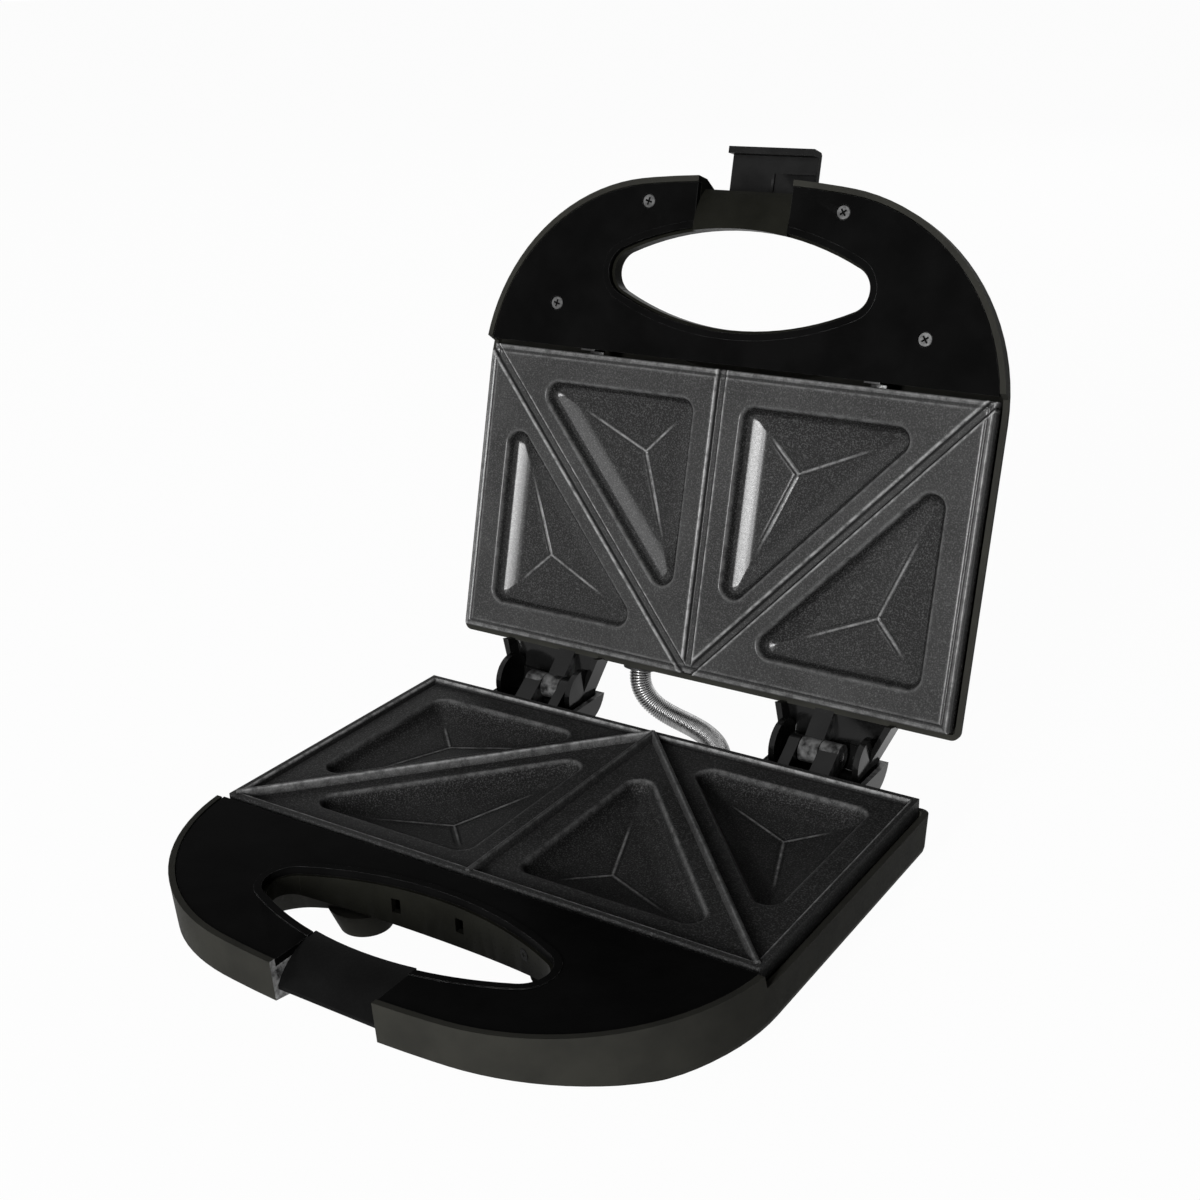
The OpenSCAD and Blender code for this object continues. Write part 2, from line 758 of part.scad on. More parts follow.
module base_plate() {
    color("#2c2d2d") in_base() {
        translate([0, 0, base_face]) cast_plate(rim_h);
        difference() {
            translate([-plate_w / 2, -plate_d, base_face - 0.1]) cube([plate_w, plate_d, rim_h + 0.1]);
            translate([rim_w - plate_w / 2, rim_w - plate_d, base_face - 1])
                cube([plate_w - 2 * rim_w, plate_d - 2 * rim_w, rim_h + 2]);
        }
        plate_ribs(rib_w, rib_w * 0.4, base_face - 0.1, rib_lead);
    }
}

module lid_plate() {
    color("#3f4041") in_lid() difference() {
        translate([0, 0, lid_face]) mirror([0, 0, 1]) cast_plate(0);
        plate_ribs(rib_w * 1.6, rib_w * 0.9, lid_face - 0.1, lid_face + groove_h);
    }
}

// Tubular element bent into an open loop, its middle plane at z = 0
module heater_loop() {
    front = heater_land - plate_d;
    bend_x = heater_x - heater_bend;
    for (side = [-1, 1]) {
        rod(side > 0 ? heater_end : -bend_x, side > 0 ? bend_x : -heater_end, heater_r, -heater_land, 0);
        rod_y(front + heater_bend, -heater_land - heater_bend, heater_r, side * heater_x, 0);
        rod(side > 0 ? heater_end - 4 : -heater_end, side > 0 ? heater_end : 4 - heater_end, 1,
            -heater_land, 0);
    }
    rod(-bend_x, bend_x, heater_r, front, 0);
    for (turn = [0:3])
        translate([(turn == 0 || turn == 3 ? 1 : -1) * bend_x,
            turn < 2 ? -heater_land - heater_bend : front + heater_bend, 0])
            rotate([0, 0, 90 * turn])
                rotate_extrude(angle = 90, $fn = 48) translate([heater_bend, 0]) circle(r = heater_r);
}

module base_heater() {
    color("#6d6a66") in_base() translate([0, 0, base_heater_z]) heater_loop();
}

module lid_heater() {
    color("#6d6a66") in_lid() translate([0, 0, lid_heater_z]) heater_loop();
}

// Pressed sheet under a heating loop, its outer face at z = 0 and its flange upward
module reflector_pan() {
    x = plate_w / 2 - sheet_inset;
    difference() {
        translate([-x, sheet_inset - plate_d, 0])
            cube([2 * x, plate_d - 2 * sheet_inset + 5, sheet_flange]);
        translate([sheet_t - x, sheet_inset + sheet_t - plate_d, sheet_t])
            cube([2 * (x - sheet_t), plate_d - 2 * sheet_inset - 2 * sheet_t + 5, sheet_flange]);
        for (spot = stud_spots)
            translate([spot[0], spot[1], -1])
                cylinder(r = small_screw_r + screw_fit, h = sheet_t + 2, $fn = 32);
    }
}

module reflector_screws() {
    for (spot = stud_spots)
        translate([spot[0], spot[1], 0]) {
            translate([0, 0, -small_head_h]) cylinder(r = small_head_r, h = small_head_h, $fn = 32);
            cylinder(r = small_screw_r, h = stud_grip, $fn = 32);
        }
}

module base_reflector() {
    color("#b9bcbe") in_base() translate([0, 0, base_sheet_z]) reflector_pan();
}

module base_reflector_screws() {
    color("#9a9c9e") in_base() translate([0, 0, base_sheet_z]) reflector_screws();
}

module lid_reflector() {
    color("#b9bcbe") in_lid() translate([0, 0, lid_sheet_z + sheet_t]) mirror([0, 0, 1]) reflector_pan();
}

module lid_reflector_screws() {
    color("#9a9c9e") in_lid() translate([0, 0, lid_sheet_z + sheet_t]) mirror([0, 0, 1]) reflector_screws();
}

// Spring clips that grip the front edge of a plate, their tops at z = 0
module plate_clips(drop) {
    low = plate_skirt + clip_fit;
    both_sides() translate([clip_x - clip_w / 2, 0, 0]) {
        translate([0, panel_edge, -low - clip_t]) cube([clip_w, clip_t, low + clip_t - drop]);
        translate([0, panel_edge, -low - clip_t]) cube([clip_w, panel_gap + plate_t, clip_t]);
    }
}

module base_plate_clips() {
    color("#a5a7a8") in_base() translate([0, 0, -clip_fit]) plate_clips(base_clip_drop);
}

module lid_plate_clips() {
    color("#a5a7a8") in_lid() translate([0, 0, lid_face + clip_fit]) mirror([0, 0, 1]) plate_clips(0);
}

module rubber_feet() {
    color("#1a1a1a") in_base()
        foot_places()
            translate([0, 0, -base_drop - foot_h - pad_out])
                cylinder(r = pad_r, h = pad_out + recess, $fn = 48);
}

module thermal_fuse() {
    color("#d8cdb4") in_base() {
        rod(-46, -34, 2, -7, base_under - 2.1);
        rod(-50, -30, 0.5, -7, base_under - 2.1);
    }
}

module terminal_block() {
    color("#e6e1d6") in_base() translate([block_x, block_y, block_z])
        difference() {
            translate([-block_w / 2, -block_d / 2, 0]) cube([block_w, block_d, block_h]);
            for (x = [-block_w / 3, 0, block_w / 3]) {
                translate([x, -block_d / 4, 3]) cylinder(r = 1.6, h = block_h, $fn = 24);
                translate([x, block_d / 4, 3]) cylinder(r = 1.6, h = block_h, $fn = 24);
            }
        }
}

module cord_gland() {
    color("#1c1c1c") in_base() difference() {
        union() {
            rod_y(casing_back - wall - 0.5, casing_back + 0.5, gland_r, gland_x, gland_z);
            rod_y(casing_back, casing_back + 1.5, gland_r + seat_wall, gland_x, gland_z);
        }
        rod_y(casing_back - 20, casing_back + 20, gland_r - 1.2, gland_x, gland_z);
    }
}

module thermostat() {
    color("#c9c5bd") in_lid() translate([0, -pocket_land - 1.5, lid_under]) {
        cylinder(r = thermostat_r, h = thermostat_h * 0.6, $fn = 48);
        cylinder(r = thermostat_r * 0.8, h = thermostat_h, $fn = 48);
    }
}

// Lid's side profile, its top lowered by an inset
module lid_profile(inset = 0, low = 0) {
    across([[casing_back + 1, low], [casing_back + 1, lid_rise - inset], [-fall_start, lid_rise - inset],
        [front_y, lid_front_rise - inset], [front_y - 1, lid_front_rise - inset], [front_y - 1, low]]);
}

module lid_tub() {
    difference() {
        intersection() {
            loft(lid_levels());
            lid_profile();
        }
        across([[casing_back + 2, -1], [casing_back + 2, side_rim], [panel_edge + 1, side_rim],
            [panel_edge - 1, lid_face + front_rim], [front_y - 2, lid_face + front_rim], [front_y - 2, -1]]);
        difference() {
            intersection() {
                loft(lid_levels(wall), wall);
                lid_profile(wall, -1);
            }
            casing_cores(lid_seat, lid_rise);
            scoop(lid_grip_h - wall, lid_rise, wall + lid_flare_in, wall + lid_flare_out);
            both_sides()
                for (spot = post_spots)
                    translate([spot[0], spot[1], lid_under]) cylinder(r = post_r, h = lid_rise, $fn = 32);
            for (x = [-plate_w / 4, plate_w / 4])
                for (y = [-plate_d / 3, -plate_d * 2 / 3])
                    translate([x, y, lid_sheet_z + sheet_t]) cylinder(r = post_r, h = lid_rise, $fn = 32);
        }
        translate([0, 0, -1]) linear_extrude(lid_rise + 2) grip(-sleeve_inset);
        scoop(lid_grip_h, lid_rise + 1, lid_flare_in, lid_flare_out);
        translate([-notch_x, front_y - 2, -1]) cube([notch_w, bar_y - 2 - front_y + 2 - wall, lid_rise + 2]);
        translate([-notch_x, front_y - 2, -1]) cube([notch_w, bar_y + 4 - front_y, lid_seat + 1]);
    }
}

// Hinge cover of the lid with its side walls, roof and knuckle
module lid_pod() {
    roof_z = hinge_z + cover_r;
    inside = [[pod_in, hinge_back], [pod_flare_in, 0.5], [pod_flare_out, 0.5], [pod_out, hinge_back]];
    difference() {
        rod(pod_in, pod_out, cover_r, hinge_back, hinge_z);
        rod(pod_in + pod_wall, pod_out - pod_wall, cover_r - pod_wall, hinge_back, hinge_z);
        translate([pod_in + pod_wall, hinge_back, hinge_z]) rotate([90, 0, 90])
            linear_extrude(pod_out - pod_in - 2 * pod_wall)
                polygon([[0, 0], for (a = [120:20:365]) 3 * cover_r * [cos(a), sin(a)]]);
    }
    difference() {
        linear_extrude(roof_z) polygon(inside);
        translate([0, 0, -1]) linear_extrude(roof_z + 1 - pod_wall)
            polygon([inside[0] + [pod_wall, 1], inside[1] + [pod_wall, -1], inside[2] - [pod_wall, 1],
                inside[3] + [-pod_wall, 1]]);
        translate([pod_flare_in - 1, -2, -1]) cube([60, casing_back + 1, side_rim + 1]);
        translate([pod_flare_in - 1, 0, 0]) rotate([45, 0, 0]) translate([0, -20, -10]) cube([60, 20, 10]);
    }
    difference() {
        union() {
            rod(lid_knuckle_x, lid_knuckle_x + lid_knuckle_w, knuckle_r, hinge_back, hinge_z);
            across([[casing_back - 2, side_rim + 0.5], [hinge_back - knuckle_r, hinge_z],
                [hinge_back + knuckle_r, hinge_z], [hinge_back + knuckle_r, roof_z - 2],
                [hinge_back, roof_z - 1], [casing_back - 2, roof_z - 1]],
                lid_knuckle_x, lid_knuckle_x + lid_knuckle_w);
        }
        rod(lid_knuckle_x - 1, lid_knuckle_x + lid_knuckle_w + 1, pin_r + pin_fit, hinge_back, hinge_z);
    }
}

module lid_casing() {
    color("#26261f") in_lid() {
        difference() {
            union() {
                lid_tub();
                wall_seat(collar_r, -conduit_lid_x, casing_back, lid_exit_z);
                intersection() {
                    translate([0, 0, 0]) mirror([0, 0, 1]) difference() {
                        notch_bar(lid_bar_end, -lid_grip_h);
                        translate([0, 0, -lid_rise]) linear_extrude(lid_rise) grip(-sleeve_inset);
                    }
                    union() {
                        translate([-notch_x - 1, lid_bar_end, 0])
                            cube([notch_w + 2, bar_y + 4 - lid_bar_end, lid_bar_top]);
                        translate([-notch_x - 1, bar_y - wall, 0]) cube([notch_w + 2, wall + 4, lid_grip_h]);
                    }
                }
            }
            screw_bores(lid_seat - 1, lid_seat + 9);
            rod(-notch_x - cheek_t - 1, notch_x + cheek_t + 1, latch_pin_r + pin_fit, latch_y, latch_z);
            for (x = [-lens_x, lens_x])
                translate([x, lens_y, lid_rise - 2 * wall])
                    cylinder(r = lens_r + 0.1, h = 3 * wall, $fn = 48);
            rod_y(casing_back - 9, casing_back + 1, collar_r + 0.1, -conduit_lid_x, lid_exit_z);
        }
        both_sides() lid_pod();
    }
}

// Pilot lens with its inner flange
module pilot_lens(x) {
    in_lid() translate([x, lens_y, lid_rise - wall]) {
        translate([0, 0, -1.4]) cylinder(r = lens_r + 1.2, h = 1.4 - lens_gap, $fn = 48);
        translate([0, 0, -1]) cylinder(r = lens_r, h = wall + 1.6, $fn = 48);
    }
}

module power_lens() {
    color("#b3261e") pilot_lens(-lens_x);
}

module ready_lens() {
    color("#2f8f3e") pilot_lens(lens_x);
}

module neon_lamps() {
    color("#e9c9a0") in_lid()
        for (x = [-lens_x, lens_x])
            translate([x, lens_y, lid_sheet_z + sheet_t + 0.1])
                cylinder(r = 2.4, h = lid_rise - wall - 1.6 - lid_sheet_z - sheet_t, $fn = 32);
}

// Latch in its open pose, with its hub, arms, plate, hook and ribs
module latch() {
    across_y = latch_offset + latch_t;
    color("#232321") in_lid() translate([0, latch_y, latch_z]) difference() {
        union() {
            rod(-latch_x, latch_x, hub_r);
            for (side = [-1, 1])
                translate([side * (latch_x - 2) - 2, -2.5, 0]) cube([4, 5, across_y - 1]);
            across([[hub_r, latch_offset], [hub_r - 1, across_y], [-latch_len + 1, across_y],
                [-latch_len, across_y - 1], [-latch_len - 0.5, latch_offset - hook_depth],
                [-latch_len + hook_t, latch_offset - hook_depth], [-latch_len + hook_t, latch_offset]],
                -latch_x, latch_x);
            translate([latch_x / 3, -latch_len + 8, latch_offset - 1]) cube([latch_x * 2 / 3, 1, 1.5]);
            translate([0, -latch_len + 9, latch_offset - 1]) cube([1, 9, 1.5]);
        }
        rod(-latch_x - 1, latch_x + 1, latch_pin_r + pin_fit);
    }
}

module latch_pin() {
    color("#9b9d9f") in_lid()
        rod(-notch_x - cheek_t + 0.2, notch_x + cheek_t - 0.2, latch_pin_r, latch_y, latch_z);
}

module hinge_pin() {
    in_base() rod(inner_lug_x + 0.3, outer_lug_x + outer_lug_w - 0.3, pin_r, hinge_back, hinge_z);
}

module left_hinge_pin() {
    color("#9b9d9f") mirror([1, 0, 0]) hinge_pin();
}

module right_hinge_pin() {
    color("#9b9d9f") hinge_pin();
}

// Bushing round the conduit where it passes a rear wall, its flange on the outer face
module collar(x, y, z) {
    difference() {
        union() {
            rod_y(y - wall - 0.5, y + 1, collar_r, x, z);
            rod_y(y, y + 1, collar_r + seat_wall, x, z);
        }
        rod_y(y - 20, y + 20, conduit_r + collar_fit, x, z);
    }
}

// Flat round seat for a bushing on a rear wall
module wall_seat(r, x, y, z) {
    difference() {
        rod_y(y - wall - 2.4, y, r + 0.1 + seat_wall, x, z);
        translate([x - 20, y - 20, -plate_skirt - lid_foot_h])
            cube([40, skirt_clear - y + 20, plate_skirt + lid_foot_h + lid_face + skirt_clear + plate_skirt]);
    }
}

module base_conduit_collar() {
    color("#3a3a3a") in_base() collar(conduit_base_x, casing_back, base_exit_z);
}

module lid_conduit_collar() {
    color("#3a3a3a") in_lid() collar(-conduit_lid_x, casing_back, lid_exit_z);
}

// Place of a point of the closed lid when the lid is open
function opened(p) = let (y = p[1] - hinge_back, z = p[2] - hinge_z)
    [p[0], hinge_back + cos(open_angle) * y + sin(open_angle) * z,
        hinge_z - sin(open_angle) * y + cos(open_angle) * z];

// Route of the conduit in the open pose, straight at both ends and curved between them
lid_turn = 18.7;
base_turn = 15.4;
free_run = 2;
lid_seat_at = opened([-conduit_lid_x, casing_back - exit_run, lid_exit_z]);
lid_free_at = opened([-conduit_lid_x, casing_back + free_run, lid_exit_z]);
lid_turn_at = opened([-conduit_lid_x, casing_back + free_run + lid_turn, lid_exit_z]);
base_seat_at = [conduit_base_x, casing_back - exit_run, base_exit_z];
base_free_at = [conduit_base_x, casing_back + free_run, base_exit_z];
base_turn_at = [conduit_base_x, casing_back + free_run + base_turn, base_exit_z];
route = [lid_free_at, lid_turn_at, [-13.4, 49.2, -20.5], [5.5, 30.6, -8], base_turn_at, base_free_at];
function bezier(p, t) = len(p) == 1 ? p[0] :
    bezier([for (i = [0:len(p) - 2]) p[i] * (1 - t) + p[i + 1] * t], t);
samples = 80;
path = concat([lid_seat_at], [for (i = [0:samples]) bezier(route, i / samples)], [base_seat_at]);
lengths = [for (s = 0, i = 0; i < len(path); i = i + 1,
    s = s + (i < len(path) ? norm(path[i] - path[i - 1]) : 0)) s];
path_length = lengths[len(lengths) - 1];
table_x = [for (i = [0:len(path) - 1]) [lengths[i], path[i][0]]];
table_y = [for (i = [0:len(path) - 1]) [lengths[i], path[i][1]]];
table_z = [for (i = [0:len(path) - 1]) [lengths[i], path[i][2]]];
function at_length(s) = [lookup(s, table_x), lookup(s, table_y), lookup(s, table_z)];
function unit(v) = v / norm(v);
function heading(s) = unit(at_length(min(s + 0.8, path_length)) - at_length(max(s - 0.8, 0)));
aside = unit([-0.5, -0.6, 0.62]);
function frame_u(s) = unit(cross(heading(s), aside));
function frame_v(s) = cross(heading(s), frame_u(s));
function ring_dir(s, a) = cos(a) * frame_u(s) + sin(a) * frame_v(s);

// Closed tube through rings of points, all rings with as many points
module tube_of(rings) {
    n = len(rings[0]);
    m = len(rings);
    polyhedron([for (ring = rings) each ring], concat(
        [for (i = [1:n - 2]) [0, i, i + 1]],
        [for (i = [1:n - 2]) [(m - 1) * n, (m - 1) * n + i + 1, (m - 1) * n + i]],
        [for (k = [0:m - 2]) for (i = [0:n - 1]) [k * n + i, (k + 1) * n + i, (k + 1) * n + (i + 1) % n]],
        [for (k = [0:m - 2]) for (i = [0:n - 1])
            [k * n + i, (k + 1) * n + (i + 1) % n, k * n + (i + 1) % n]]));
}

// Spring wound round the route as one wire
curls = floor((path_length - 2 * wire_r) / curl_pitch);
steps = curls * 8;
coil_r = conduit_r - wire_r;
function curl_s(k) = wire_r + (path_length - 2 * wire_r) * k / steps;
function curl_point(k) = at_length(curl_s(k)) + coil_r * ring_dir(curl_s(k), 45 * k);
function wire_ring(k) = let (s = curl_s(k), out = ring_dir(s, 45 * k), t = heading(s))
    [for (b = [0:60:300]) curl_point(k) + wire_r * (cos(b) * out + sin(b) * t)];
coil = [for (k = [0:steps]) curl_point(k)];
gaps = [for (k = [0:steps - 12]) min([for (j = [5:11]) norm(coil[k + j] - coil[k])]) - 2 * wire_r];
echo(curls = curls, least_gap = min(gaps), conduit_length = path_length);

module spring_conduit() {
    color("#a9aba9") in_base() tube_of([for (k = [0:steps]) wire_ring(k)]);
}

module conduit_leads() {
    rings = 22;
    color("#55524c") in_base()
        tube_of([for (k = [0:rings]) let (s = path_length * k / rings)
            [for (a = [0:36:324]) at_length(s) + bundle_r * ring_dir(s, a)]]);
}

base_casing();
base_handle_panel();
base_plate();
base_heater();
base_reflector();
base_reflector_screws();
base_plate_clips();
base_panel_screws();
rubber_feet();
thermal_fuse();
terminal_block();
cord_gland();
lid_casing();
lid_handle_panel();
lid_plate();
lid_heater();
lid_reflector();
lid_reflector_screws();
lid_plate_clips();
lid_panel_screws();
thermostat();
power_lens();
ready_lens();
neon_lamps();
latch();
latch_pin();
left_hinge_pin();
right_hinge_pin();
base_conduit_collar();
lid_conduit_collar();
conduit_leads();
spring_conduit();
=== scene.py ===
import json
import math

import bmesh
import bpy
import numpy as np
from mathutils import Matrix, Vector


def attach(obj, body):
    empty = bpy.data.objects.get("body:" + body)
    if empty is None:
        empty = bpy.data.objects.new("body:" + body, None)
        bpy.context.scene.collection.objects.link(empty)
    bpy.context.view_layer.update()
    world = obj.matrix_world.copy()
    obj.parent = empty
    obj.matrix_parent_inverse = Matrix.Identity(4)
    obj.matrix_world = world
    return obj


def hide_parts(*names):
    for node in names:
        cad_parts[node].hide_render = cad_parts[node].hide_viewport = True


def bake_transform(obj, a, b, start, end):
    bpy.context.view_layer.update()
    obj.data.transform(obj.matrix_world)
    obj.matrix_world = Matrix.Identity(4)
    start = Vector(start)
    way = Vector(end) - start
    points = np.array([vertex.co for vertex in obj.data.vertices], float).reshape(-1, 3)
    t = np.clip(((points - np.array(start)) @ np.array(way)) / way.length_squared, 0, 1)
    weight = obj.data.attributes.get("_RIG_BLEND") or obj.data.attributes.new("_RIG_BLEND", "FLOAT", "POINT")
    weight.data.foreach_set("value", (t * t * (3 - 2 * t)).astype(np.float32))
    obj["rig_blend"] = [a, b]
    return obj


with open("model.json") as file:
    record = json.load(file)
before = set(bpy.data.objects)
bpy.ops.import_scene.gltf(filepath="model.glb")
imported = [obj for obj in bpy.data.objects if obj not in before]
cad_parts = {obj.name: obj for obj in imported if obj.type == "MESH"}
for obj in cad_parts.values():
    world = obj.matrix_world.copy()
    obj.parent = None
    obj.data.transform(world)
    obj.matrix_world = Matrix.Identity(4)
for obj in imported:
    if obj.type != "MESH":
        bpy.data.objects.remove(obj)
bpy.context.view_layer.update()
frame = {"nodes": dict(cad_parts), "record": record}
MM = 0.001
COLL = bpy.context.scene.collection

# Camera at the photograph's view

AZ, EL, ROLL = math.radians(33.75), math.radians(21.59), math.radians(-1.92)
CAM_AT = Vector((305.36, -425.46, 318.8)) * MM


def make_camera():
    back = Vector((math.sin(AZ) * math.cos(EL), -math.cos(AZ) * math.cos(EL), math.sin(EL)))
    right = (-back).cross(Vector((0, 0, 1))).normalized()
    up = right.cross(-back)
    c, s = math.cos(ROLL), math.sin(ROLL)
    r2, u2 = right * c + up * s, up * c - right * s
    m = Matrix.Identity(4)
    for i, axis in enumerate((r2, u2, back)):
        for j in range(3):
            m[j][i] = axis[j]
    m.translation = CAM_AT
    data = bpy.data.cameras.new("camera")
    data.lens, data.sensor_width, data.sensor_fit = 49.01, 36, "AUTO"
    data.clip_start, data.clip_end = 0.01, 20
    cam = bpy.data.objects.new("camera", data)
    COLL.objects.link(cam)
    cam.matrix_world = m
    bpy.context.scene.camera = cam


make_camera()

# The object's own frames: the plates' frame, and the closed lid's turned open

HINGE = Vector((0, 17.5, -1))
OPEN = math.radians(105)
SHIFT = Vector((0, 67.5, 33))


def base_at(x, y, z):
    return (Vector((x, y, z)) + SHIFT) * MM


def lid_at(x, y, z):
    v = Vector((x, y, z)) - HINGE
    c, s = math.cos(OPEN), math.sin(OPEN)
    return (Vector((v.x, c * v.y + s * v.z, c * v.z - s * v.y)) + HINGE + SHIFT) * MM


# Materials


class Nodes:
    """Short ways to add and join shader nodes of one material"""

    def __init__(self, name):
        self.mat = bpy.data.materials.new(name)
        self.mat.use_nodes = True
        self.tree = self.mat.node_tree
        self.bsdf = self.tree.nodes["Principled BSDF"]
        self.coord = self.add("ShaderNodeTexCoord").outputs["Object"]

    def add(self, kind, **props):
        n = self.tree.nodes.new(kind)
        for k, v in props.items():
            setattr(n, k, v)
        return n

    def join(self, a, b):
        self.tree.links.new(a, b)

    def noise(self, scale, detail=3, rough=0.55, stretch=None):
        n = self.add("ShaderNodeTexNoise")
        n.inputs["Scale"].default_value = scale
        n.inputs["Detail"].default_value = detail
        n.inputs["Roughness"].default_value = rough
        if stretch:
            m = self.add("ShaderNodeMapping")
            m.inputs["Scale"].default_value = stretch
            self.join(self.coord, m.inputs["Vector"])
            self.join(m.outputs["Vector"], n.inputs["Vector"])
        else:
            self.join(self.coord, n.inputs["Vector"])
        return n.outputs["Fac"]

    def remap(self, value, lo, hi, a=0.0, b=1.0):
        n = self.add("ShaderNodeMapRange")
        for k, v in (("From Min", lo), ("From Max", hi), ("To Min", a), ("To Max", b)):
            n.inputs[k].default_value = v
        self.join(value, n.inputs["Value"])
        return n.outputs["Result"]

    def mix(self, fac, a, b):
        n = self.add("ShaderNodeMix", data_type="RGBA")
        self.join(fac, n.inputs["Factor"])
        for slot, v in ((n.inputs[6], a), (n.inputs[7], b)):
            if isinstance(v, tuple):
                slot.default_value = (*v, 1)
            else:
                self.join(v, slot)
        return n.outputs[2]

    def times(self, a, b):
        n = self.add("ShaderNodeMath", operation="MULTIPLY")
        self.join(a, n.inputs[0])
        if isinstance(b, float):
            n.inputs[1].default_value = b
        else:
            self.join(b, n.inputs[1])
        return n.outputs[0]

    def bump(self, height, strength, distance):
        n = self.add("ShaderNodeBump")
        n.inputs["Strength"].default_value = strength
        n.inputs["Distance"].default_value = distance
        self.join(height, n.inputs["Height"])
        self.join(n.outputs["Normal"], self.bsdf.inputs["Normal"])

    def set(self, **sockets):
        for k, v in sockets.items():
            self.bsdf.inputs[k.replace("_", " ")].default_value = v


def grey(v, tint=(1, 1, 1)):
    return tuple(v * t for t in tint)


def plastic(name, dark, light, rough, spec, grain):
    """Moulded plastic: clouded colour, uneven gloss and a fine grain"""
    n = Nodes(name)
    n.join(n.mix(n.remap(n.noise(60, 4), 0.35, 0.65), dark, light), n.bsdf.inputs["Base Color"])
    n.join(n.remap(n.noise(900, 2), 0.3, 0.7, rough - 0.05, rough + 0.07), n.bsdf.inputs["Roughness"])
    if grain:
        n.bump(n.noise(4500, 2), grain, 0.00005)
    n.set(Specular_IOR_Level=spec)
    return n.mat


def wear_and_highlight(name, dull, painted_highlight, rough):
    """Edge of a dark moulding, mottled pale as abrasion mixed with painted highlight"""
    n = Nodes(name)
    n.join(n.mix(n.remap(n.noise(220, 4, 0.65), 0.38, 0.62), dull, painted_highlight), n.bsdf.inputs["Base Color"])
    n.join(n.remap(n.noise(900, 2), 0.3, 0.7, rough - 0.06, rough + 0.08), n.bsdf.inputs["Roughness"])
    n.set(Specular_IOR_Level=0.06)
    return n.mat


def metal(name, dark, light, rough, streak=(1, 1, 1)):
    """Bare metal: streaked tone and roughness, small scratches"""
    n = Nodes(name)
    n.set(Metallic=1.0)
    tone = n.mix(n.remap(n.noise(500, 4, stretch=streak), 0.3, 0.7), dark, light)
    n.join(tone, n.bsdf.inputs["Base Color"])
    n.join(n.remap(n.noise(1800, 3, stretch=streak), 0.3, 0.7, rough - 0.08, rough + 0.1),
           n.bsdf.inputs["Roughness"])
    n.bump(n.noise(3000, 2, stretch=streak), 0.15, 0.00003)
    return n.mat


def coating(name, dark, light, fleck, rough, spec):
    """Non-stick coating: flecks and pits over grey, edges and crease lines lighter as abrasion mixed with
    painted highlight, valleys and pockets darker as painted shade, and an uneven skin
    """
    n = Nodes(name)
    tone = n.mix(n.remap(n.noise(28, 4), 0.35, 0.65), dark, light)
    # Painted shade: pocket walls and floors darkened towards near black by a per-point attribute
    painted_shade_tone = n.add("ShaderNodeAttribute", attribute_name="painted_shade_tone").outputs["Fac"]
    tone = n.mix(painted_shade_tone, grey(0.008), tone)
    tone = n.mix(n.times(n.remap(n.noise(1700, 3, 0.75), 0.5, 0.66), 0.45), tone, fleck)
    tone = n.mix(n.times(n.remap(n.noise(2000, 3, 0.75), 0.34, 0.52, 1.0, 0.0), 0.5), tone, grey(0.012))
    # Abrasion mixed with painted highlight and shade: ridges, edges and crease lines pale, valleys dark,
    # from a per-point attribute
    wear_and_painted_light = n.add("ShaderNodeAttribute", attribute_name="wear_and_painted_light").outputs["Fac"]
    patchy = n.remap(n.noise(260, 4, 0.7), 0.36, 0.6, 0.25, 1.0)
    tone = n.mix(n.times(n.remap(wear_and_painted_light, 0.0, 1.0), patchy), tone, grey(0.34))
    tone = n.mix(n.remap(wear_and_painted_light, 0.0, -1.0, 0.0, 0.85), tone, grey(0.006))
    n.join(tone, n.bsdf.inputs["Base Color"])
    n.join(n.remap(n.noise(1500, 3), 0.3, 0.7, rough - 0.03, rough + 0.03), n.bsdf.inputs["Roughness"])
    n.bump(n.noise(2200, 2, 0.7), 0.14, 0.00004)
    n.set(Specular_IOR_Level=spec)
    return n.mat


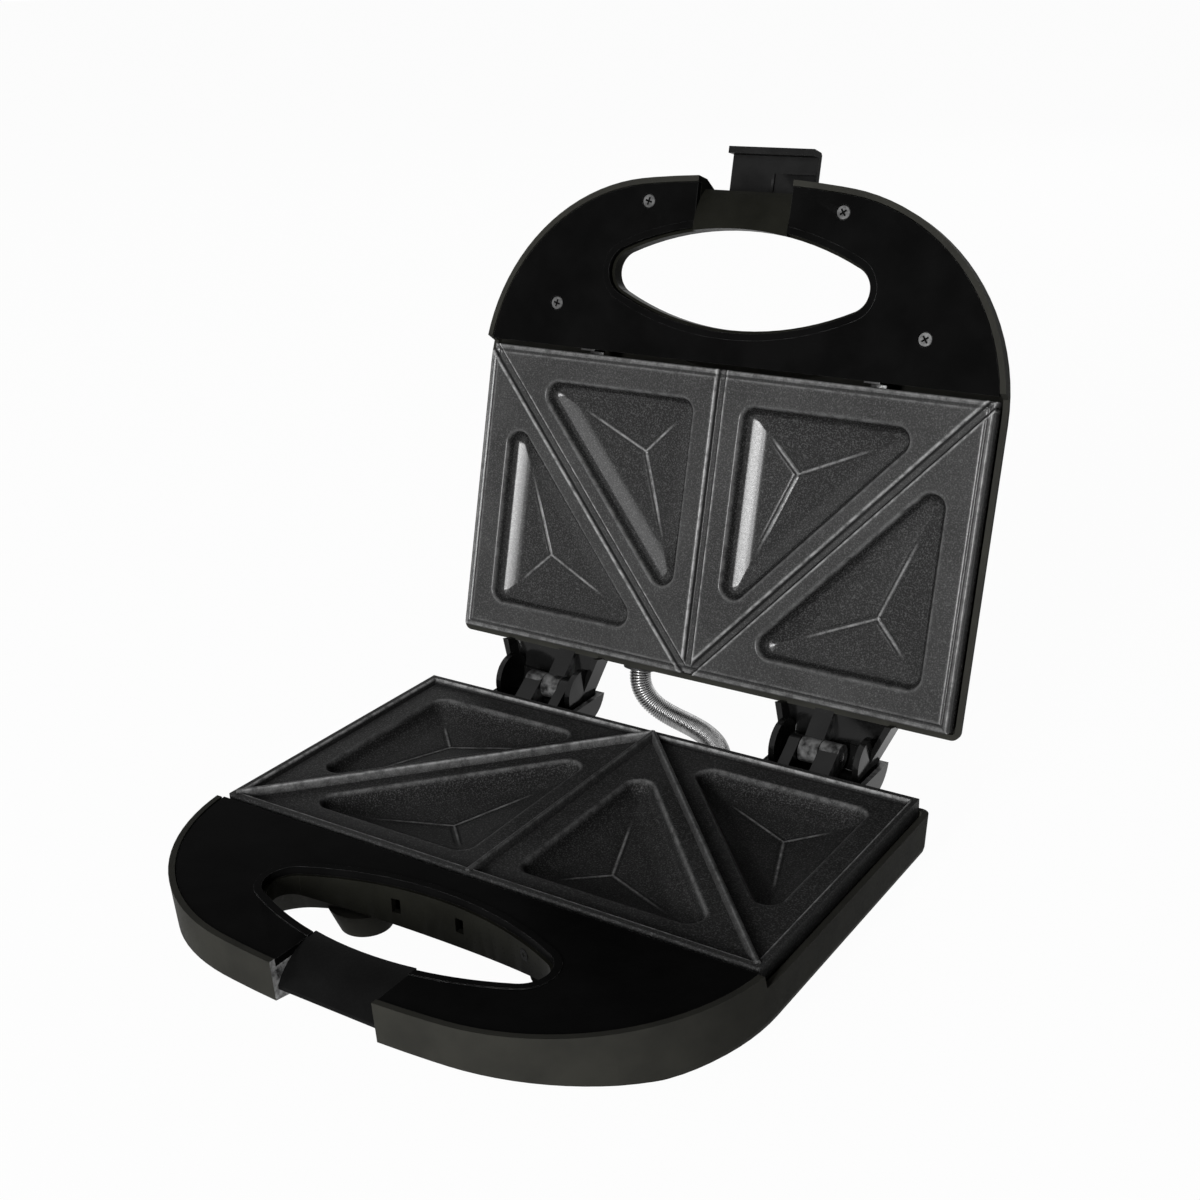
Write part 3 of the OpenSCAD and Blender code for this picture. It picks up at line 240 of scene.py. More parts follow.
MATS = {
    "casing": plastic("casing", grey(0.025, (1, 0.99, 0.88)), grey(0.032, (1, 0.99, 0.86)),
                      0.45, 0.005, 0.35),
    "panel": plastic("panel", grey(0.003), grey(0.0045), 0.16, 0.004, 0.0),
    "plate": coating("plate", grey(0.022), grey(0.036), grey(0.15), 0.22, 0.2),
    "element": metal("element", grey(0.16, (1, 0.93, 0.86)), grey(0.26, (1, 0.95, 0.88)), 0.45),
    "sheet": metal("sheet", grey(0.55), grey(0.7), 0.3, (1, 8, 1)),
    "screw": metal("screw", grey(0.05), grey(0.14), 0.34),
    "clip": metal("clip", grey(0.02), grey(0.06), 0.35),
    "rubber": plastic("rubber", grey(0.012), grey(0.02), 0.75, 0.2, 0.6),
    "ceramic": plastic("ceramic", grey(0.6, (1, 0.96, 0.88)), grey(0.7, (1, 0.97, 0.9)), 0.35, 0.5, 0.1),
    "block": plastic("block", grey(0.62, (1, 0.95, 0.84)), grey(0.74, (1, 0.96, 0.88)), 0.6, 0.4, 0.3),
    "bushing": plastic("bushing", grey(0.014), grey(0.022), 0.5, 0.2, 0.2),
    "red_lens": plastic("red_lens", (0.35, 0.012, 0.01), (0.5, 0.03, 0.02), 0.15, 0.6, 0.0),
    "green_lens": plastic("green_lens", (0.02, 0.22, 0.05), (0.04, 0.34, 0.08), 0.15, 0.6, 0.0),
    "lamp": plastic("lamp", (0.8, 0.5, 0.3), (0.9, 0.62, 0.42), 0.1, 0.6, 0.0),
    "latch": plastic("latch", grey(0.009), grey(0.015), 0.3, 0.02, 0.25),
    "pin": metal("pin", grey(0.35), grey(0.5), 0.25, (12, 1, 1)),
    "leads": plastic("leads", grey(0.05, (1, 0.9, 0.75)), grey(0.08, (1, 0.92, 0.8)), 0.8, 0.1, 0.5),
    "conduit": metal("conduit", grey(0.22), grey(0.36), 0.28),
}
# Bevelled edges: lighter, mottled materials that paint highlights along the edges, mixed with abrasion
EDGES = {
    "casing": wear_and_highlight("casing_edge", grey(0.035, (1, 0.99, 0.88)), grey(0.075, (1, 0.99, 0.9)), 0.4),
    "panel": wear_and_highlight("panel_edge", grey(0.01), grey(0.09), 0.25),
    "latch": wear_and_highlight("latch_edge", grey(0.03), grey(0.12), 0.3),
}
EXTRA = {
    # Base plate: a darker copy of the lid plate's coating, as painted shade on its flat face
    "base_plate": coating("base_plate_coating", grey(0.017), grey(0.028), grey(0.16), 0.33, 0.02),
    "gloss": plastic("gloss", grey(0.003), grey(0.006), 0.14, 0.2, 0.0),
    # Knuckles: grey textured moulding whose pale mottles are painted glints
    "knuckle": wear_and_highlight("knuckle", grey(0.014), grey(0.13), 0.3),
    # Base notch's side wall: scuffing with a painted highlight on its facet
    "scuff_and_highlight": wear_and_highlight("scuff_and_highlight", grey(0.05), grey(0.62), 0.3),
    "shade": plastic("shade", grey(0.008, (1, 1, 0.8)), grey(0.012, (1, 1, 0.8)), 0.3, 0.01, 0.3),
    "bar": plastic("bar", grey(0.004), grey(0.006), 0.25, 0.02, 0.3),
    # Cross recesses of the lid panel screws: near black as painted shade
    "pit": plastic("pit", grey(0.002), grey(0.004), 0.6, 0.02, 0.0),
}


def dress(obj, slot):
    if obj.data.materials:
        obj.data.materials[0] = MATS[slot]
    else:
        obj.data.materials.append(MATS[slot])


SLOTS = {s["node"]: s["material_slot"] for s in frame["record"]["subparts"]}
for name, obj in frame["nodes"].items():
    dress(obj, SLOTS[name])

# Rigid pieces with softened edges, copied from their solids


def body_of(node):
    return next(b for b, nodes in frame["record"]["behaviour"]["bodies"].items() if node in nodes)


def add_piece(name, bm, node, smooth=35):
    """New object with a node's material and slot, smooth where faces meet below an angle"""
    mesh = bpy.data.meshes.new(name)
    bm.to_mesh(mesh)
    bm.free()
    obj = bpy.data.objects.new(name, mesh)
    COLL.objects.link(obj)
    mesh.shade_smooth()
    mesh.set_sharp_from_angle(angle=math.radians(smooth))
    dress(obj, SLOTS[node])
    return obj


def plate_frame(v):
    """Place in the plates' frame of a place in the world"""
    return v / MM - SHIFT


def lid_frame(v):
    """Place in the closed lid's frame of a place on the open lid"""
    v = v / MM - SHIFT - HINGE
    c, s = math.cos(OPEN), math.sin(OPEN)
    return Vector((v.x, c * v.y - s * v.z, s * v.y + c * v.z)) + HINGE


HINGE_X, HINGE_Y, HINGE_Z = 38, 3.7, 22
KNUCKLE_Y, LID_KNUCKLE, BASE_KNUCKLE = 9, (55.9, 64.1), (64.3, 72.5)
NOTCH_X, NOTCH_Y, NOTCH_WALL = 20.7, -172, -20.0
GRIP_Y, GRIP_HALF_X, GRIP_HALF_Y = -156.7, 61, 24
REGIONS = ["casing", "edge", "gloss", "knuckle", "shade", "bar", "scuff_and_highlight"]


def casing_region(p, up):
    """Material region of a casing's face: gloss at the hinges, with painted glints on the knuckles; painted
    shade in the hand opening and the lid's notch; the base notch's bar, and its side wall with scuffing and
    a painted highlight
    """
    x = abs(p.x)
    if p.y > HINGE_Y and x > HINGE_X and abs(p.z) < HINGE_Z:
        near, far = LID_KNUCKLE if up > 0 else BASE_KNUCKLE
        return "knuckle" if near < x < far and p.y > KNUCKLE_Y else "gloss"
    if x < NOTCH_X and p.y < NOTCH_Y:
        if up > 0:
            return "shade"
        return "scuff_and_highlight" if p.x < NOTCH_WALL else "bar"
    in_grip = (x / GRIP_HALF_X) ** 2 + ((p.y - GRIP_Y) / GRIP_HALF_Y) ** 2 < 1
    return "shade" if in_grip else "casing"


def finish_casing(obj, up):
    """Give a casing's faces their region's material, apart from its flat outer side"""
    for region in REGIONS[2:]:
        obj.data.materials.append(EXTRA[region])
    to_frame = lid_frame if up > 0 else plate_frame
    for f in obj.data.polygons:
        centre = to_frame(f.center)
        if (to_frame(f.center + f.normal * MM) - centre).z * up < 0.8:
            f.material_index = REGIONS.index(casing_region(centre, up))


def soften(node, width, segments=2, limit=38):
    """Copy of a node's solid with its sharp edges rounded"""
    bm = bmesh.new()
    bm.from_mesh(frame["nodes"][node].data)
    bmesh.ops.remove_doubles(bm, verts=bm.verts, dist=2e-6)
    bmesh.ops.dissolve_limit(bm, angle_limit=math.radians(1.0), verts=bm.verts, edges=bm.edges)
    obj = add_piece(node + "_moulded", bm, node)
    mod = obj.modifiers.new("rounding", "BEVEL")
    mod.width, mod.segments, mod.limit_method = width * MM, segments, "ANGLE"
    mod.angle_limit = math.radians(limit)
    mod.harden_normals = True
    # Rounded edges take the lighter edge material: painted highlight mixed with abrasion
    if SLOTS[node] in EDGES:
        obj.data.materials.append(EDGES[SLOTS[node]])
        mod.material = 1
    if SLOTS[node] == "casing":
        finish_casing(obj, 1 if node == "lid_casing" else -1)
    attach(obj, body_of(node))
    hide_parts(node)


# Studio: plain pale floor, soft light and white background


AMBIENT, FLOOR_SIZE, FLOOR_WHITE = 0.03, 60, 0.97


def seen_rays(tree):
    """Socket that is 1 for camera, glossy and transmission rays, and 0 for light on the object"""
    path = tree.nodes.new("ShaderNodeLightPath")
    seen = path.outputs["Is Camera Ray"]
    for ray in ("Is Glossy Ray", "Is Transmission Ray"):
        either = tree.nodes.new("ShaderNodeMath")
        either.operation = "MAXIMUM"
        tree.links.new(seen, either.inputs[0])
        tree.links.new(path.outputs[ray], either.inputs[1])
        seen = either.outputs[0]
    return seen


def blend_shaders(tree, share, first, second, out):
    mix = tree.nodes.new("ShaderNodeMixShader")
    tree.links.new(share, mix.inputs["Fac"])
    tree.links.new(first.outputs[0], mix.inputs[1])
    tree.links.new(second.outputs[0], mix.inputs[2])
    tree.links.new(mix.outputs[0], out.inputs["Surface"])


def make_world():
    world = bpy.data.worlds.new("studio")
    bpy.context.scene.world = world
    world.use_nodes = True
    t = world.node_tree
    t.nodes.clear()
    out = t.nodes.new("ShaderNodeOutputWorld")
    dim, white = t.nodes.new("ShaderNodeBackground"), t.nodes.new("ShaderNodeBackground")
    dim.inputs["Strength"].default_value = AMBIENT
    white.inputs["Strength"].default_value = 1.0
    white.inputs["Color"].default_value = dim.inputs["Color"].default_value = (1, 1, 1, 1)
    blend_shaders(t, seen_rays(t), dim, white, out)


def make_floor():
    bm = bmesh.new()
    bmesh.ops.create_grid(bm, x_segments=1, y_segments=1, size=FLOOR_SIZE)
    mesh = bpy.data.meshes.new("floor")
    bm.to_mesh(mesh)
    bm.free()
    floor = bpy.data.objects.new("floor", mesh)
    floor.location = (0, 0, -0.0002)
    COLL.objects.link(floor)
    n = Nodes("floor")
    n.set(Roughness=1.0, Specular_IOR_Level=0.0)
    n.bsdf.inputs["Base Color"].default_value = (0.85, 0.85, 0.85, 1)
    out = next(x for x in n.tree.nodes if x.type == "OUTPUT_MATERIAL")
    share = n.times(seen_rays(n.tree), FLOOR_WHITE)
    blend_shaders(n.tree, share, n.bsdf, n.add("ShaderNodeEmission"), out)
    mesh.materials.append(n.mat)


def lamp(name, at, aim, size, power, tall=None):
    data = bpy.data.lights.new(name, "AREA")
    data.shape, data.size, data.energy = "RECTANGLE" if tall else "DISK", size, power
    if tall:
        data.size_y = tall
    obj = bpy.data.objects.new(name, data)
    COLL.objects.link(obj)
    obj.location = at
    obj.rotation_euler = (Vector(aim) - Vector(at)).to_track_quat("-Z", "Y").to_euler()


make_world()
make_floor()
lamp("key", (0.26, -2.4, 0.68), (0, 0.0, 0.1), 0.3, 64, 0.9)
lamp("upper", (-0.15, -1.91, 1.59), (0, 0.0, 0.1), 0.75, 9)
lamp("side", (2.1, -0.9, 0.9), (0, 0.02, 0.08), 0.35, 1.0)
lamp("left", (-1.7, -1.3, 1.1), (0, 0.02, 0.1), 0.6, 0.8)
lamp("back", (-0.5, 2.2, 1.2), (0, 0.05, 0.1), 1.2, 10)

bpy.context.scene.view_settings.view_transform = "Standard"

SOFT_EDGES = {
    "base_casing": 0.35, "lid_casing": 0.35, "base_handle_panel": 0.3, "lid_handle_panel": 0.3,
    "latch": 0.4, "base_plate_clips": 0.12, "lid_plate_clips": 0.12, "rubber_feet": 0.3,
    "cord_gland": 0.3, "base_conduit_collar": 0.25, "lid_conduit_collar": 0.25,
    "power_lens": 0.3, "ready_lens": 0.3, "terminal_block": 0.3, "thermostat": 0.3,
    "thermal_fuse": 0.2, "base_reflector": 0.1, "lid_reflector": 0.1, "latch_pin": 0.15,
    "left_hinge_pin": 0.15, "right_hinge_pin": 0.15,
}
for node_name, edge in SOFT_EDGES.items():
    soften(node_name, edge)

# Cooking plates, as fine surfaces over the same outline

PLATE_W, PLATE_D, PLATE_T, SKIRT = 222.0, 122.0, 2.6, 7.0
CORNER_R, DEPTH, SINK = 6.0, 6.5, 1.5
OUTER_LAND, MIDDLE_LAND, DIAGONAL_LAND = 12.5, 10.5, 8
RIM_W, RIM_H, RIB_TOP = 3.2, 2.2, 1.0
GRID_STEP, GRID_FINE = 0.44, 0.3
GROOVE_W, GROOVE_D = 4.8, 1.9
DIAGONAL = math.hypot(PLATE_W / 2, PLATE_D)
RUN_X, RUN_Y = PLATE_W / 2 / DIAGONAL, PLATE_D / DIAGONAL
K = DIAGONAL_LAND + CORNER_R


def pocket_corners():
    """Corner centres of the two pockets on the left half"""
    x1, y1 = OUTER_LAND + CORNER_R - PLATE_W / 2, -OUTER_LAND - CORNER_R
    outer = [(x1, y1), (x1, RUN_Y * (x1 + K * RUN_Y) / RUN_X + K * RUN_X),
             (-RUN_X * (K * RUN_X - y1) / RUN_Y - K * RUN_Y, y1)]
    x1, y1 = -MIDDLE_LAND - CORNER_R, OUTER_LAND + CORNER_R - PLATE_D
    inner = [(x1, y1), (x1, -RUN_Y * (K * RUN_Y - x1) / RUN_X - K * RUN_X),
             (RUN_X * (y1 + K * RUN_X) / RUN_Y + K * RUN_Y, y1)]
    return [[Vector(c) for c in p] for p in (outer, inner)]


POCKETS = pocket_corners()
WALL_S = np.linspace(-0.6, 11, 233)


def wall_profile(middle):
    """Depth against inset for a steep wall over a shallow bevel of the given slope"""
    tilt = np.interp(WALL_S, [-0.6, 0.4, 1.5, 2.6, 3.2, 7.4, 10.0],
                     [0, 69, 69, 40, middle + 2, middle - 2, 0])
    depth = np.concatenate(([0.0], np.cumsum(np.tan(np.radians(tilt))[1:])))
    return depth / depth[-1]


WALLS = (wall_profile(24), wall_profile(19))


def fade(t):
    t = np.clip(t, 0.0, 1.0)
    return t * t * (3 - 2 * t)


def from_segment(x, y, a, b):
    """Distance of places from a line between two points, and the share of the way along it"""
    ux, uy = b[0] - a[0], b[1] - a[1]
    t = np.clip(((x - a[0]) * ux + (y - a[1]) * uy) / (ux * ux + uy * uy), 0, 1)
    return np.hypot(x - a[0] - ux * t, y - a[1] - uy * t), t


def pocket_shape(x, y):
    """How far the pockets lie under the plate's face, and how far inside a pocket each place is"""
    left = x < 0
    x = -np.abs(x)
    out, deep, crease = np.zeros_like(x), np.full_like(x, -9.0), np.zeros_like(x)
    for p in POCKETS:
        sides = [(p[(i + 1) % 3] - p[(i + 2) % 3]).length for i in range(3)]
        centre = sum((c * w for c, w in zip(p, sides)), Vector((0, 0))) / sum(sides)
        edge = np.min([from_segment(x, y, p[i], p[(i + 1) % 3])[0] for i in range(3)], axis=0)
        turns = [(p[(i + 1) % 3] - p[i]).cross(p[(i + 2) % 3] - p[i]) for i in range(3)]
        inside = np.ones(x.shape, bool)
        for i in range(3):
            d = p[(i + 1) % 3] - p[i]
            inside &= (d.x * (y - p[i].y) - d.y * (x - p[i].x)) * turns[i] > 0
        inset = np.where(inside, CORNER_R + edge, CORNER_R - edge)
        reach = min(from_segment(centre.x, centre.y, p[i], p[(i + 1) % 3])[0] for i in range(3))
        on_left, on_right = (np.interp(inset, WALL_S, wall) for wall in WALLS)
        depth = DEPTH * np.where(left, on_left, on_right)
        depth += SINK * np.where(inside, np.clip((inset - 8) / (CORNER_R + reach - 8), 0, 1), 0)
        ridge = np.zeros_like(x)
        for corner in p:
            d, t = from_segment(x, y, centre, centre.lerp(corner, 0.78))
            line = np.clip(1 - d / 0.75, 0, 1) - 0.6 * np.clip(1 - np.abs(d - 1.1) / 0.7, 0, 1)
            ridge = np.where(np.abs(line) > np.abs(ridge), line * (1 - fade((t - 0.55) / 0.45)), ridge)
        out = np.where(inset > -0.6, -depth + 0.3 * ridge, out)
        deep = np.maximum(deep, inset)
        crease = np.where(inset > 4, ridge, crease)
    return out, deep, crease


def ridge_height(x, y, foot, crest, height):
    """Bar with sloping sides along the middle and both diagonals"""
    off = np.minimum(np.abs(x), np.abs(np.abs(x) * RUN_Y + y * RUN_X))
    return height * (1 - fade((off - crest / 2) / (foot / 2 - crest / 2)))


def base_height(x, y):
    edge = np.minimum(np.minimum(PLATE_W / 2 - np.abs(x), -y), PLATE_D + y)
    rim = RIM_H * (1 - fade((edge - RIM_W + 0.9) / 0.9))
    return pocket_shape(x, y)[0] + rim


def lid_height(x, y):
    edge = np.minimum(np.minimum(PLATE_W / 2 - np.abs(x), -y), PLATE_D + y)
    line = 0.4 * np.exp(-((edge - 2.4) / 0.6) ** 2) + 0.5 * np.clip(1 - edge / 0.7, 0, 1)
    return pocket_shape(x, y)[0] - ridge_height(x, y, GROOVE_W, GROOVE_W * 0.45, GROOVE_D) - line


def curl_of(h, xs, ys):
    """How sharply a height map bends: positive on ridges and edges, negative in valleys"""
    across = np.gradient(np.gradient(h, xs, axis=0), xs, axis=0)
    return -across - np.gradient(np.gradient(h, ys, axis=1), ys, axis=1)


def spaced(lo, hi, step, fine, marks):
    """Steady steps from lo to hi, with finer ones round the marks"""
    out, v = [lo], lo
    while v < hi - 1e-6:
        near = min(abs(v - m) for m in marks)
        v = min(v + (fine if near < 2.4 else step), hi)
        out.append(v)
    return out


# Rib cross-section: offset, height, and the share of abrasion mixed with painted highlight, palest on the
# shoulders
RIB_PROFILE = [(-1.5, -0.4, 0), (-0.95, RIM_H + RIB_TOP - 0.9, 0.3), (-0.62, RIM_H + RIB_TOP - 0.12, 1),
               (-0.3, RIM_H + RIB_TOP, 0.5), (0.3, RIM_H + RIB_TOP, 0.5), (0.62, RIM_H + RIB_TOP - 0.12, 1),
               (0.95, RIM_H + RIB_TOP - 0.9, 0.3), (1.5, -0.4, 0)]


def add_ribs(bm, place, top, wear_and_painted_light, painted_shade_tone):
    """Three bread-cutting ribs as clean bars from the rear centre to the front corners and middle"""
    side, front = PLATE_W / 2 - 1.7, 1.87 - PLATE_D
    for ex, ey in ((-side, front), (0, 0.3 - PLATE_D), (side, front)):
        run = Vector((ex, ey + 0.3)).normalized()
        # The left rib is painted lighter than the middle and right ribs, as painted highlight on its lit
        # side
        rings, painted_highlight = [], 0.9 if ex < 0 else 0.25
        for t in np.linspace(0, 1, 25):
            ring = []
            for off, z, rib_wear_and_light in RIB_PROFILE:
                v = bm.verts.new(place(ex * t - run.y * off, (ey + 1.2) * t - 1.2 + run.x * off, top + z))
                v[wear_and_painted_light], v[painted_shade_tone] = rib_wear_and_light * painted_highlight, 1.0
                ring.append(v)
            rings.append(ring)
        n = len(RIB_PROFILE)
        for a, b in zip(rings, rings[1:]):
            for i in range(n):
                bm.faces.new((a[i], a[(i + 1) % n], b[(i + 1) % n], b[i]))
        bm.faces.new(rings[0])
        bm.faces.new(list(reversed(rings[-1])))


def border(cols, rows, number):
    """Numbers round the edge of a grid, in order"""
    ring = [number(i, 0) for i in range(cols)] + [number(cols - 1, j) for j in range(1, rows)]
    ring += [number(i, rows - 1) for i in range(cols - 2, -1, -1)]
    return ring + [number(0, j) for j in range(rows - 2, 0, -1)]


def plate_lines():
    """Lines across and along a plate, closer at its edges, rim and middle"""
    half = PLATE_W / 2
    side = spaced(0.0, half, GRID_STEP, GRID_FINE, [0, half, half - RIM_W])
    xs = np.array([-v for v in reversed(side[1:])] + side)
    ys = spaced(-PLATE_D, 0.0, GRID_STEP, GRID_FINE, [-PLATE_D, 0, RIM_W - PLATE_D, -RIM_W])
    return xs, np.array(ys)


def plate_shell(xs, ys, high, top, skirt_low):
    """Places and faces of a plate's face, skirt and underside, and the two rings left to bridge"""
    half, nx, ny = PLATE_W / 2, len(xs), len(ys)
    gx, gy = np.meshgrid(xs, ys, indexing="ij")
    verts = [tuple(v) for v in np.stack([gx, gy, top + high], -1).reshape(-1, 3)]
    faces = [(i * ny + j, (i + 1) * ny + j, (i + 1) * ny + j + 1, i * ny + j + 1)
             for i in range(nx - 1) for j in range(ny - 1)]
    outer = border(nx, ny, lambda i, j: i * ny + j)
    n, foot = len(outer), len(verts)
    verts += [(verts[k][0], verts[k][1], skirt_low) for k in outer]
    for z in (skirt_low, top - PLATE_T):
        for k in outer:
            x = min(max(verts[k][0], PLATE_T - half), half - PLATE_T)
            y = min(max(verts[k][1], PLATE_T - PLATE_D), -PLATE_T)
            verts.append((x, y, z))
    for i in range(n):
        j = (i + 1) % n
        faces += [(outer[i], foot + i, foot + j, outer[j]), (foot + i, foot + n + i, foot + n + j, foot + j),
                  (foot + n + i, foot + 2 * n + i, foot + 2 * n + j, foot + n + j)]
    ui = np.unique(np.append(np.arange(8, nx - 8, 5), nx - 9))
    uj = np.unique(np.append(np.arange(8, ny - 8, 5), ny - 9))
    low, cols, rows = len(verts), len(ui), len(uj)
    verts += [(xs[i], ys[j], top + min(high[i, j], 0.0) - PLATE_T) for i in ui for j in uj]
    for i in range(cols - 1):
        for j in range(rows - 1):
            at = low + i * rows + j
            faces.append((at, at + 1, at + rows + 1, at + rows))
    inner = [foot + 2 * n + i for i in range(n)]
    return verts, faces, inner, border(cols, rows, lambda i, j: low + i * rows + j)


def plate_wear(xs, ys, high, wall_shade_tone, floor_shade_tone):
    """Per place on a plate's face: abrasion mixed with painted highlight and shade, and the tone under
    painted shade in the pockets
    """
    deep, crease = pocket_shape(*np.meshgrid(xs, ys, indexing="ij"))[1:]
    bend = np.clip(curl_of(high, xs, ys) / 2.2, -1, 1)
    bend *= np.interp(deep, [-3, -1.5, 1.5, 4], [1, 0.28, 0.28, 0])
    # Crease lines are painted light with a dark flank; curvature makes ridges and edges lighter and valleys
    # darker, as painted highlight and shade mixed with abrasion
    wear_light_map = np.clip(np.where(crease > 0, 0.8, 1.0) * crease + bend, -1, 1)
    # Painted shade: pocket walls and floors darker than the land
    tone = np.interp(deep, [-0.3, 0.6, 3.0, 7.5], [1, wall_shade_tone, wall_shade_tone, floor_shade_tone])
    return wear_light_map.reshape(-1), tone.reshape(-1)


def plate_piece(name, node, height, top, skirt_low, place, wall_shade_tone, floor_shade_tone, ribs=False):
    """Closed shell: fine face, skirt round it and a plain underside"""
    xs, ys = plate_lines()
    high = height(*np.meshgrid(xs, ys, indexing="ij"))
    verts, faces, *rings = plate_shell(xs, ys, high, top, skirt_low)
    wear_light_map, tone = plate_wear(xs, ys, high, wall_shade_tone, floor_shade_tone)
    bm = bmesh.new()
    for key in ("wear_and_painted_light", "painted_shade_tone"):
        bm.verts.layers.float.new(key)
    wear_and_painted_light, painted_shade_tone = (bm.verts.layers.float[k] for k in ("wear_and_painted_light", "painted_shade_tone"))
    bv = [bm.verts.new(place(*v)) for v in verts]
    for k, v in enumerate(bv):
        v[wear_and_painted_light] = wear_light_map[k] if k < len(wear_light_map) else 0.0
        v[painted_shade_tone] = tone[k] if k < len(tone) else 1.0
    for f in faces:
        bm.faces.new([bv[k] for k in f])
    if ribs:
        add_ribs(bm, place, top, wear_and_painted_light, painted_shade_tone)
    edges = [bm.edges.get((bv[ring[i - 1]], bv[ring[i]])) for ring in rings for i in range(len(ring))]
    bmesh.ops.bridge_loops(bm, edges=[e for e in edges if e])
    bmesh.ops.remove_doubles(bm, verts=bm.verts, dist=1e-6)
    bmesh.ops.recalc_face_normals(bm, faces=bm.faces)
    obj = add_piece(name, bm, node, smooth=75)
    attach(obj, body_of(node))
    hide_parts(node)
    if node in EXTRA:
        obj.data.materials[0] = EXTRA[node]


def lid_plate_at(x, y, z):
    """The lid's plate is built face up and turned over"""
    return lid_at(x, y, -z)


# The last two numbers set how dark painted shade makes pocket walls and floors; the lid's pockets are
# painted much darker than the base's
plate_piece("base_plate_cast", "base_plate", base_height, -RIM_H, -SKIRT, base_at, 0.4, 0.85, True)
plate_piece("lid_plate_cast", "lid_plate", lid_height, -0.5, -0.5 - SKIRT, lid_plate_at, 0.12, 0.1)

# Panel screws with cross recesses

HEAD_R, CROSS, ARM = 2.8, 1.55, 0.36
LID_SCREWS = [(42.3, -184.5), (81.1, -141.2)]


def ring_loop(bm, at, radius, z, n=28):
    turns = [2 * math.pi * i / n for i in range(n)]
    return [bm.verts.new(at(radius * math.cos(a), radius * math.sin(a), z)) for a in turns]


def screw_head(bm, at, r, low, top, foot):
    """Flat head with a cross recess and a shank; at() gives world places of places round the screw"""
    loops = [ring_loop(bm, at, 1.3, foot), ring_loop(bm, at, 1.3, low), ring_loop(bm, at, r, low),
             ring_loop(bm, at, r, top - 0.25), ring_loop(bm, at, r - 0.3, top)]
    bm.faces.new(list(reversed(loops[0])))
    for a, b in zip(loops, loops[1:]):
        n = len(a)
        for i in range(n):
            bm.faces.new((a[i], a[(i + 1) % n], b[(i + 1) % n], b[i]))
    w, c = ARM * r / 2.8, CROSS * r / 2.8
    plus = [(w, w), (w, c), (-w, c), (-w, w), (-c, w), (-c, -w), (-w, -w), (-w, -c), (w, -c), (w, -w),
            (c, -w), (c, w)]
    rim = [bm.verts.new(at(x, y, top)) for x, y in plus]
    deep = [bm.verts.new(at(x * 0.8, y * 0.8, top - 0.7 * r / 2.8)) for x, y in plus]
    edges = [bm.edges.new((rim[i], rim[(i + 1) % 12])) for i in range(12)]
    edge_of = loops[-1]
    edges += [bm.edges.get((edge_of[i - 1], edge_of[i])) for i in range(1, len(edge_of))]
    edges.append(bm.edges.get((edge_of[-1], edge_of[0])))
    bmesh.ops.triangle_fill(bm, use_beauty=True, edges=edges)
    walls = [bm.faces.new((rim[i], rim[(i + 1) % 12], deep[(i + 1) % 12], deep[i])) for i in range(12)]
    walls.append(bm.faces.new(deep))
    for f in walls:
        f.material_index = 1


def panel_screws():
    bm = bmesh.new()
    for x0, y0 in LID_SCREWS:
        for side in (-1, 1):
            turn = math.radians(20 * side + 35)
            c, s = math.cos(turn), math.sin(turn)
            screw_head(bm, lambda x, y, z: lid_at(side * x0 + c * x - s * y, y0 + s * x + c * y, 1.1 - z),
                       HEAD_R, -1.0, -0.1, -10.5)
    bmesh.ops.recalc_face_normals(bm, faces=bm.faces)
    obj = add_piece("lid_panel_cross_screws", bm, "lid_panel_screws", smooth=30)
    # The recesses take the near-black painted shade
    obj.data.materials.append(EXTRA["pit"])
    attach(obj, "lid")
    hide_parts("lid_panel_screws")


def sleeve_screw():
    """Small cross-headed screw set in the far wall of the base's hand opening"""
    bm = bmesh.new()
    out = Vector((-0.34, -0.94, 0)).normalized()
    right = Vector((-out.y, out.x, 0))
    centre = Vector((38.8, -143.7, -7.1))
    screw_head(bm, lambda x, y, z: base_at(*(centre + right * x + Vector((0, 0, y)) + out * z)),
               2.2, -1.0, 0.3, -1.4)
    bmesh.ops.recalc_face_normals(bm, faces=bm.faces)
    obj = add_piece("sleeve_cross_screw", bm, "base_panel_screws", smooth=30)
    # The head is painted near black as shade inside the hand opening; the recess takes the knuckle's painted
    # glints, drawing a faint pale cross
    obj.data.materials[0] = EXTRA["bar"]
    obj.data.materials.append(EXTRA["knuckle"])
    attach(obj, "base")


panel_screws()
sleeve_screw()

# Conduit: close-wound wire and its leads, bent between base and lid

COIL_R, WIRE_R, PITCH = 4.0, 0.5, 1.06
EXIT_RUN, FREE_RUN = 9.0, 2.0
LID_X, BASE_X, OUT_Z = -27.5, 23.5, 12.8
LID_SEAT = lid_at(LID_X, 3.5 - EXIT_RUN, OUT_Z)
BASE_SEAT = base_at(BASE_X, 3.5 - EXIT_RUN, -OUT_Z)
ROUTE = [lid_at(LID_X, 3.5 + FREE_RUN, OUT_Z), lid_at(LID_X, 3.5 + FREE_RUN + 18.7, OUT_Z),
         base_at(-13.4, 49.2, -20.5), base_at(5.5, 30.6, -8),
         base_at(BASE_X, 3.5 + FREE_RUN + 15.4, -OUT_Z), base_at(BASE_X, 3.5 + FREE_RUN, -OUT_Z)]


def bezier(points, t):
    while len(points) > 1:
        points = [a.lerp(b, t) for a, b in zip(points, points[1:])]
    return points[0]


def conduit_path():
    pts = [LID_SEAT] + [bezier(ROUTE, i / 200) for i in range(201)] + [BASE_SEAT]
    at = [0.0]
    for a, b in zip(pts, pts[1:]):
        at.append(at[-1] + (b - a).length)
    return pts, at


PATH, PATH_AT = conduit_path()
ASIDE = Vector((-0.5, -0.6, 0.62)).normalized()


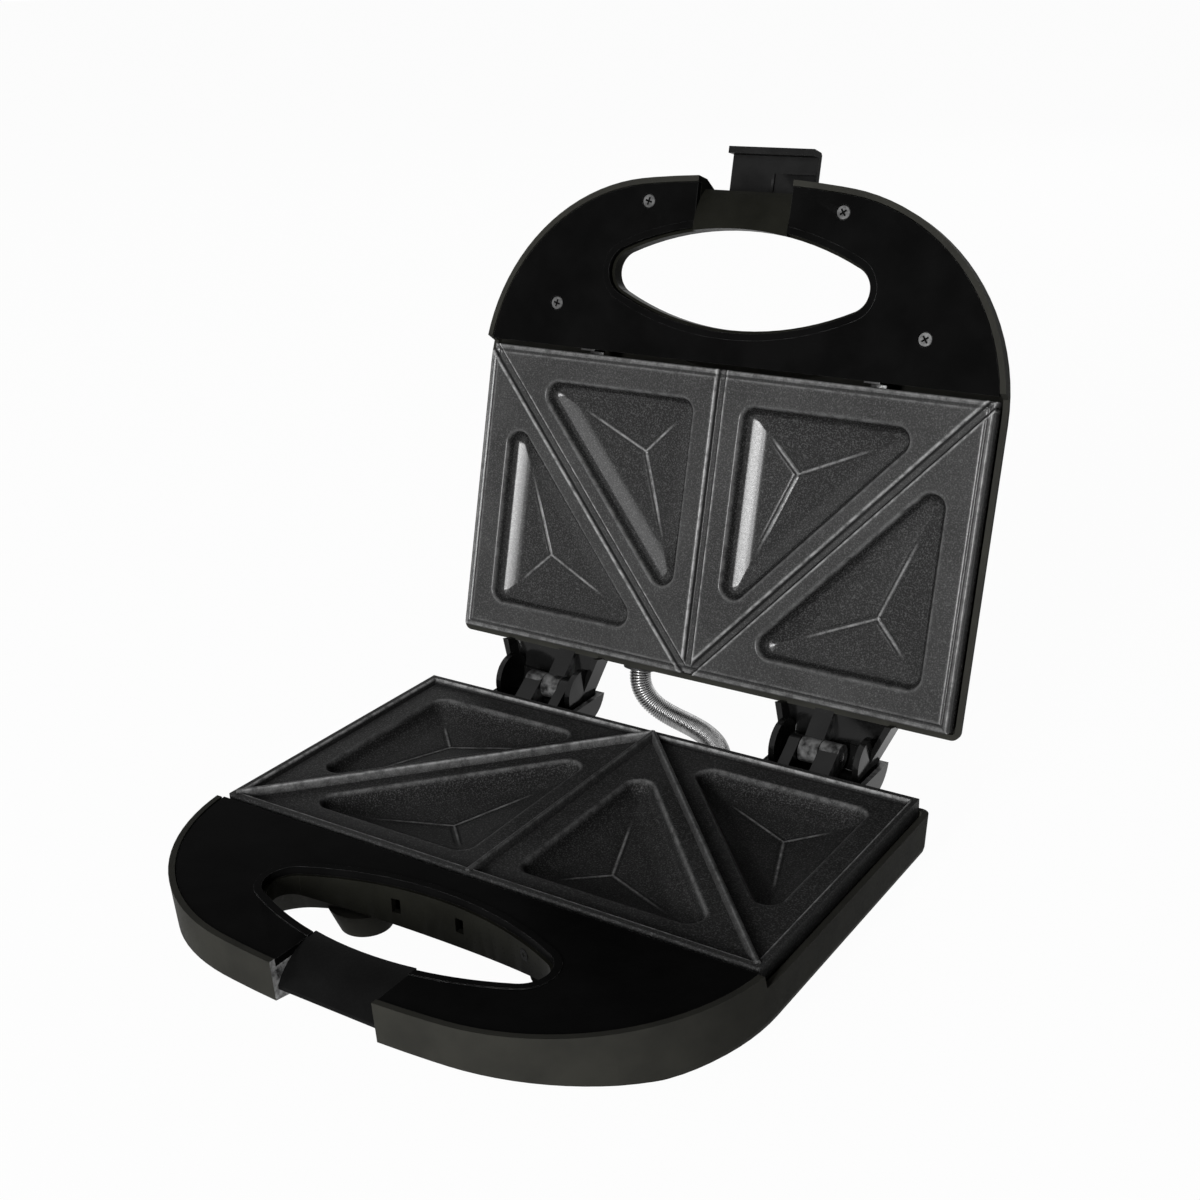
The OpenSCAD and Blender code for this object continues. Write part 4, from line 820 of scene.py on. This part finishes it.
def on_path(s):
    s = min(max(s, 0.0), PATH_AT[-1])
    i = next((k for k in range(len(PATH_AT) - 1) if PATH_AT[k + 1] >= s), len(PATH_AT) - 2)
    t = (s - PATH_AT[i]) / max(PATH_AT[i + 1] - PATH_AT[i], 1e-9)
    return PATH[i].lerp(PATH[i + 1], t)


def path_frame(s):
    h = 0.0008
    t = (on_path(min(s + h, PATH_AT[-1])) - on_path(max(s - h, 0))).normalized()
    u = t.cross(ASIDE).normalized()
    return t, u, t.cross(u)


def tube(bm, rings):
    """Closed tube through rings of points"""
    made = [[bm.verts.new(p) for p in ring] for ring in rings]
    n = len(made[0])
    for a, b in zip(made, made[1:]):
        for i in range(n):
            bm.faces.new((a[i], b[i], b[(i + 1) % n], a[(i + 1) % n]))
    bm.faces.new(made[0])
    bm.faces.new(list(reversed(made[-1])))


def conduit_coil():
    bm = bmesh.new()
    total = PATH_AT[-1]
    wire, pitch = WIRE_R * MM, PITCH * MM
    per = 18
    count = int((total - 2 * wire) / pitch * per)
    rings = []
    for k in range(count + 1):
        s = wire + (total - 2 * wire) * k / count
        t, u, v = path_frame(s)
        a = 2 * math.pi * k / per
        out = u * math.cos(a) + v * math.sin(a)
        mid = on_path(s) + out * (COIL_R * MM)
        rings.append([mid + (out * math.cos(b) + t * math.sin(b)) * wire
                      for b in (2 * math.pi * i / 8 for i in range(8))])
    tube(bm, rings)
    bmesh.ops.recalc_face_normals(bm, faces=bm.faces)
    return add_piece("conduit_coil", bm, "spring_conduit", smooth=60)


def conduit_core():
    bm = bmesh.new()
    rings = []
    for k in range(81):
        s = PATH_AT[-1] * k / 80
        t, u, v = path_frame(s)
        rings.append([on_path(s) + (u * math.cos(a) + v * math.sin(a)) * (3.4 * MM)
                      for a in (2 * math.pi * i / 16 for i in range(16))])
    tube(bm, rings)
    bmesh.ops.recalc_face_normals(bm, faces=bm.faces)
    return add_piece("conduit_core", bm, "conduit_leads", smooth=60)


for piece, node in ((conduit_coil(), "spring_conduit"), (conduit_core(), "conduit_leads")):
    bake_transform(piece, "base", "lid", start=tuple(base_at(BASE_X, 6, -OUT_Z)),
             end=tuple(lid_at(LID_X, 6, OUT_Z)))
    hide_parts(node)
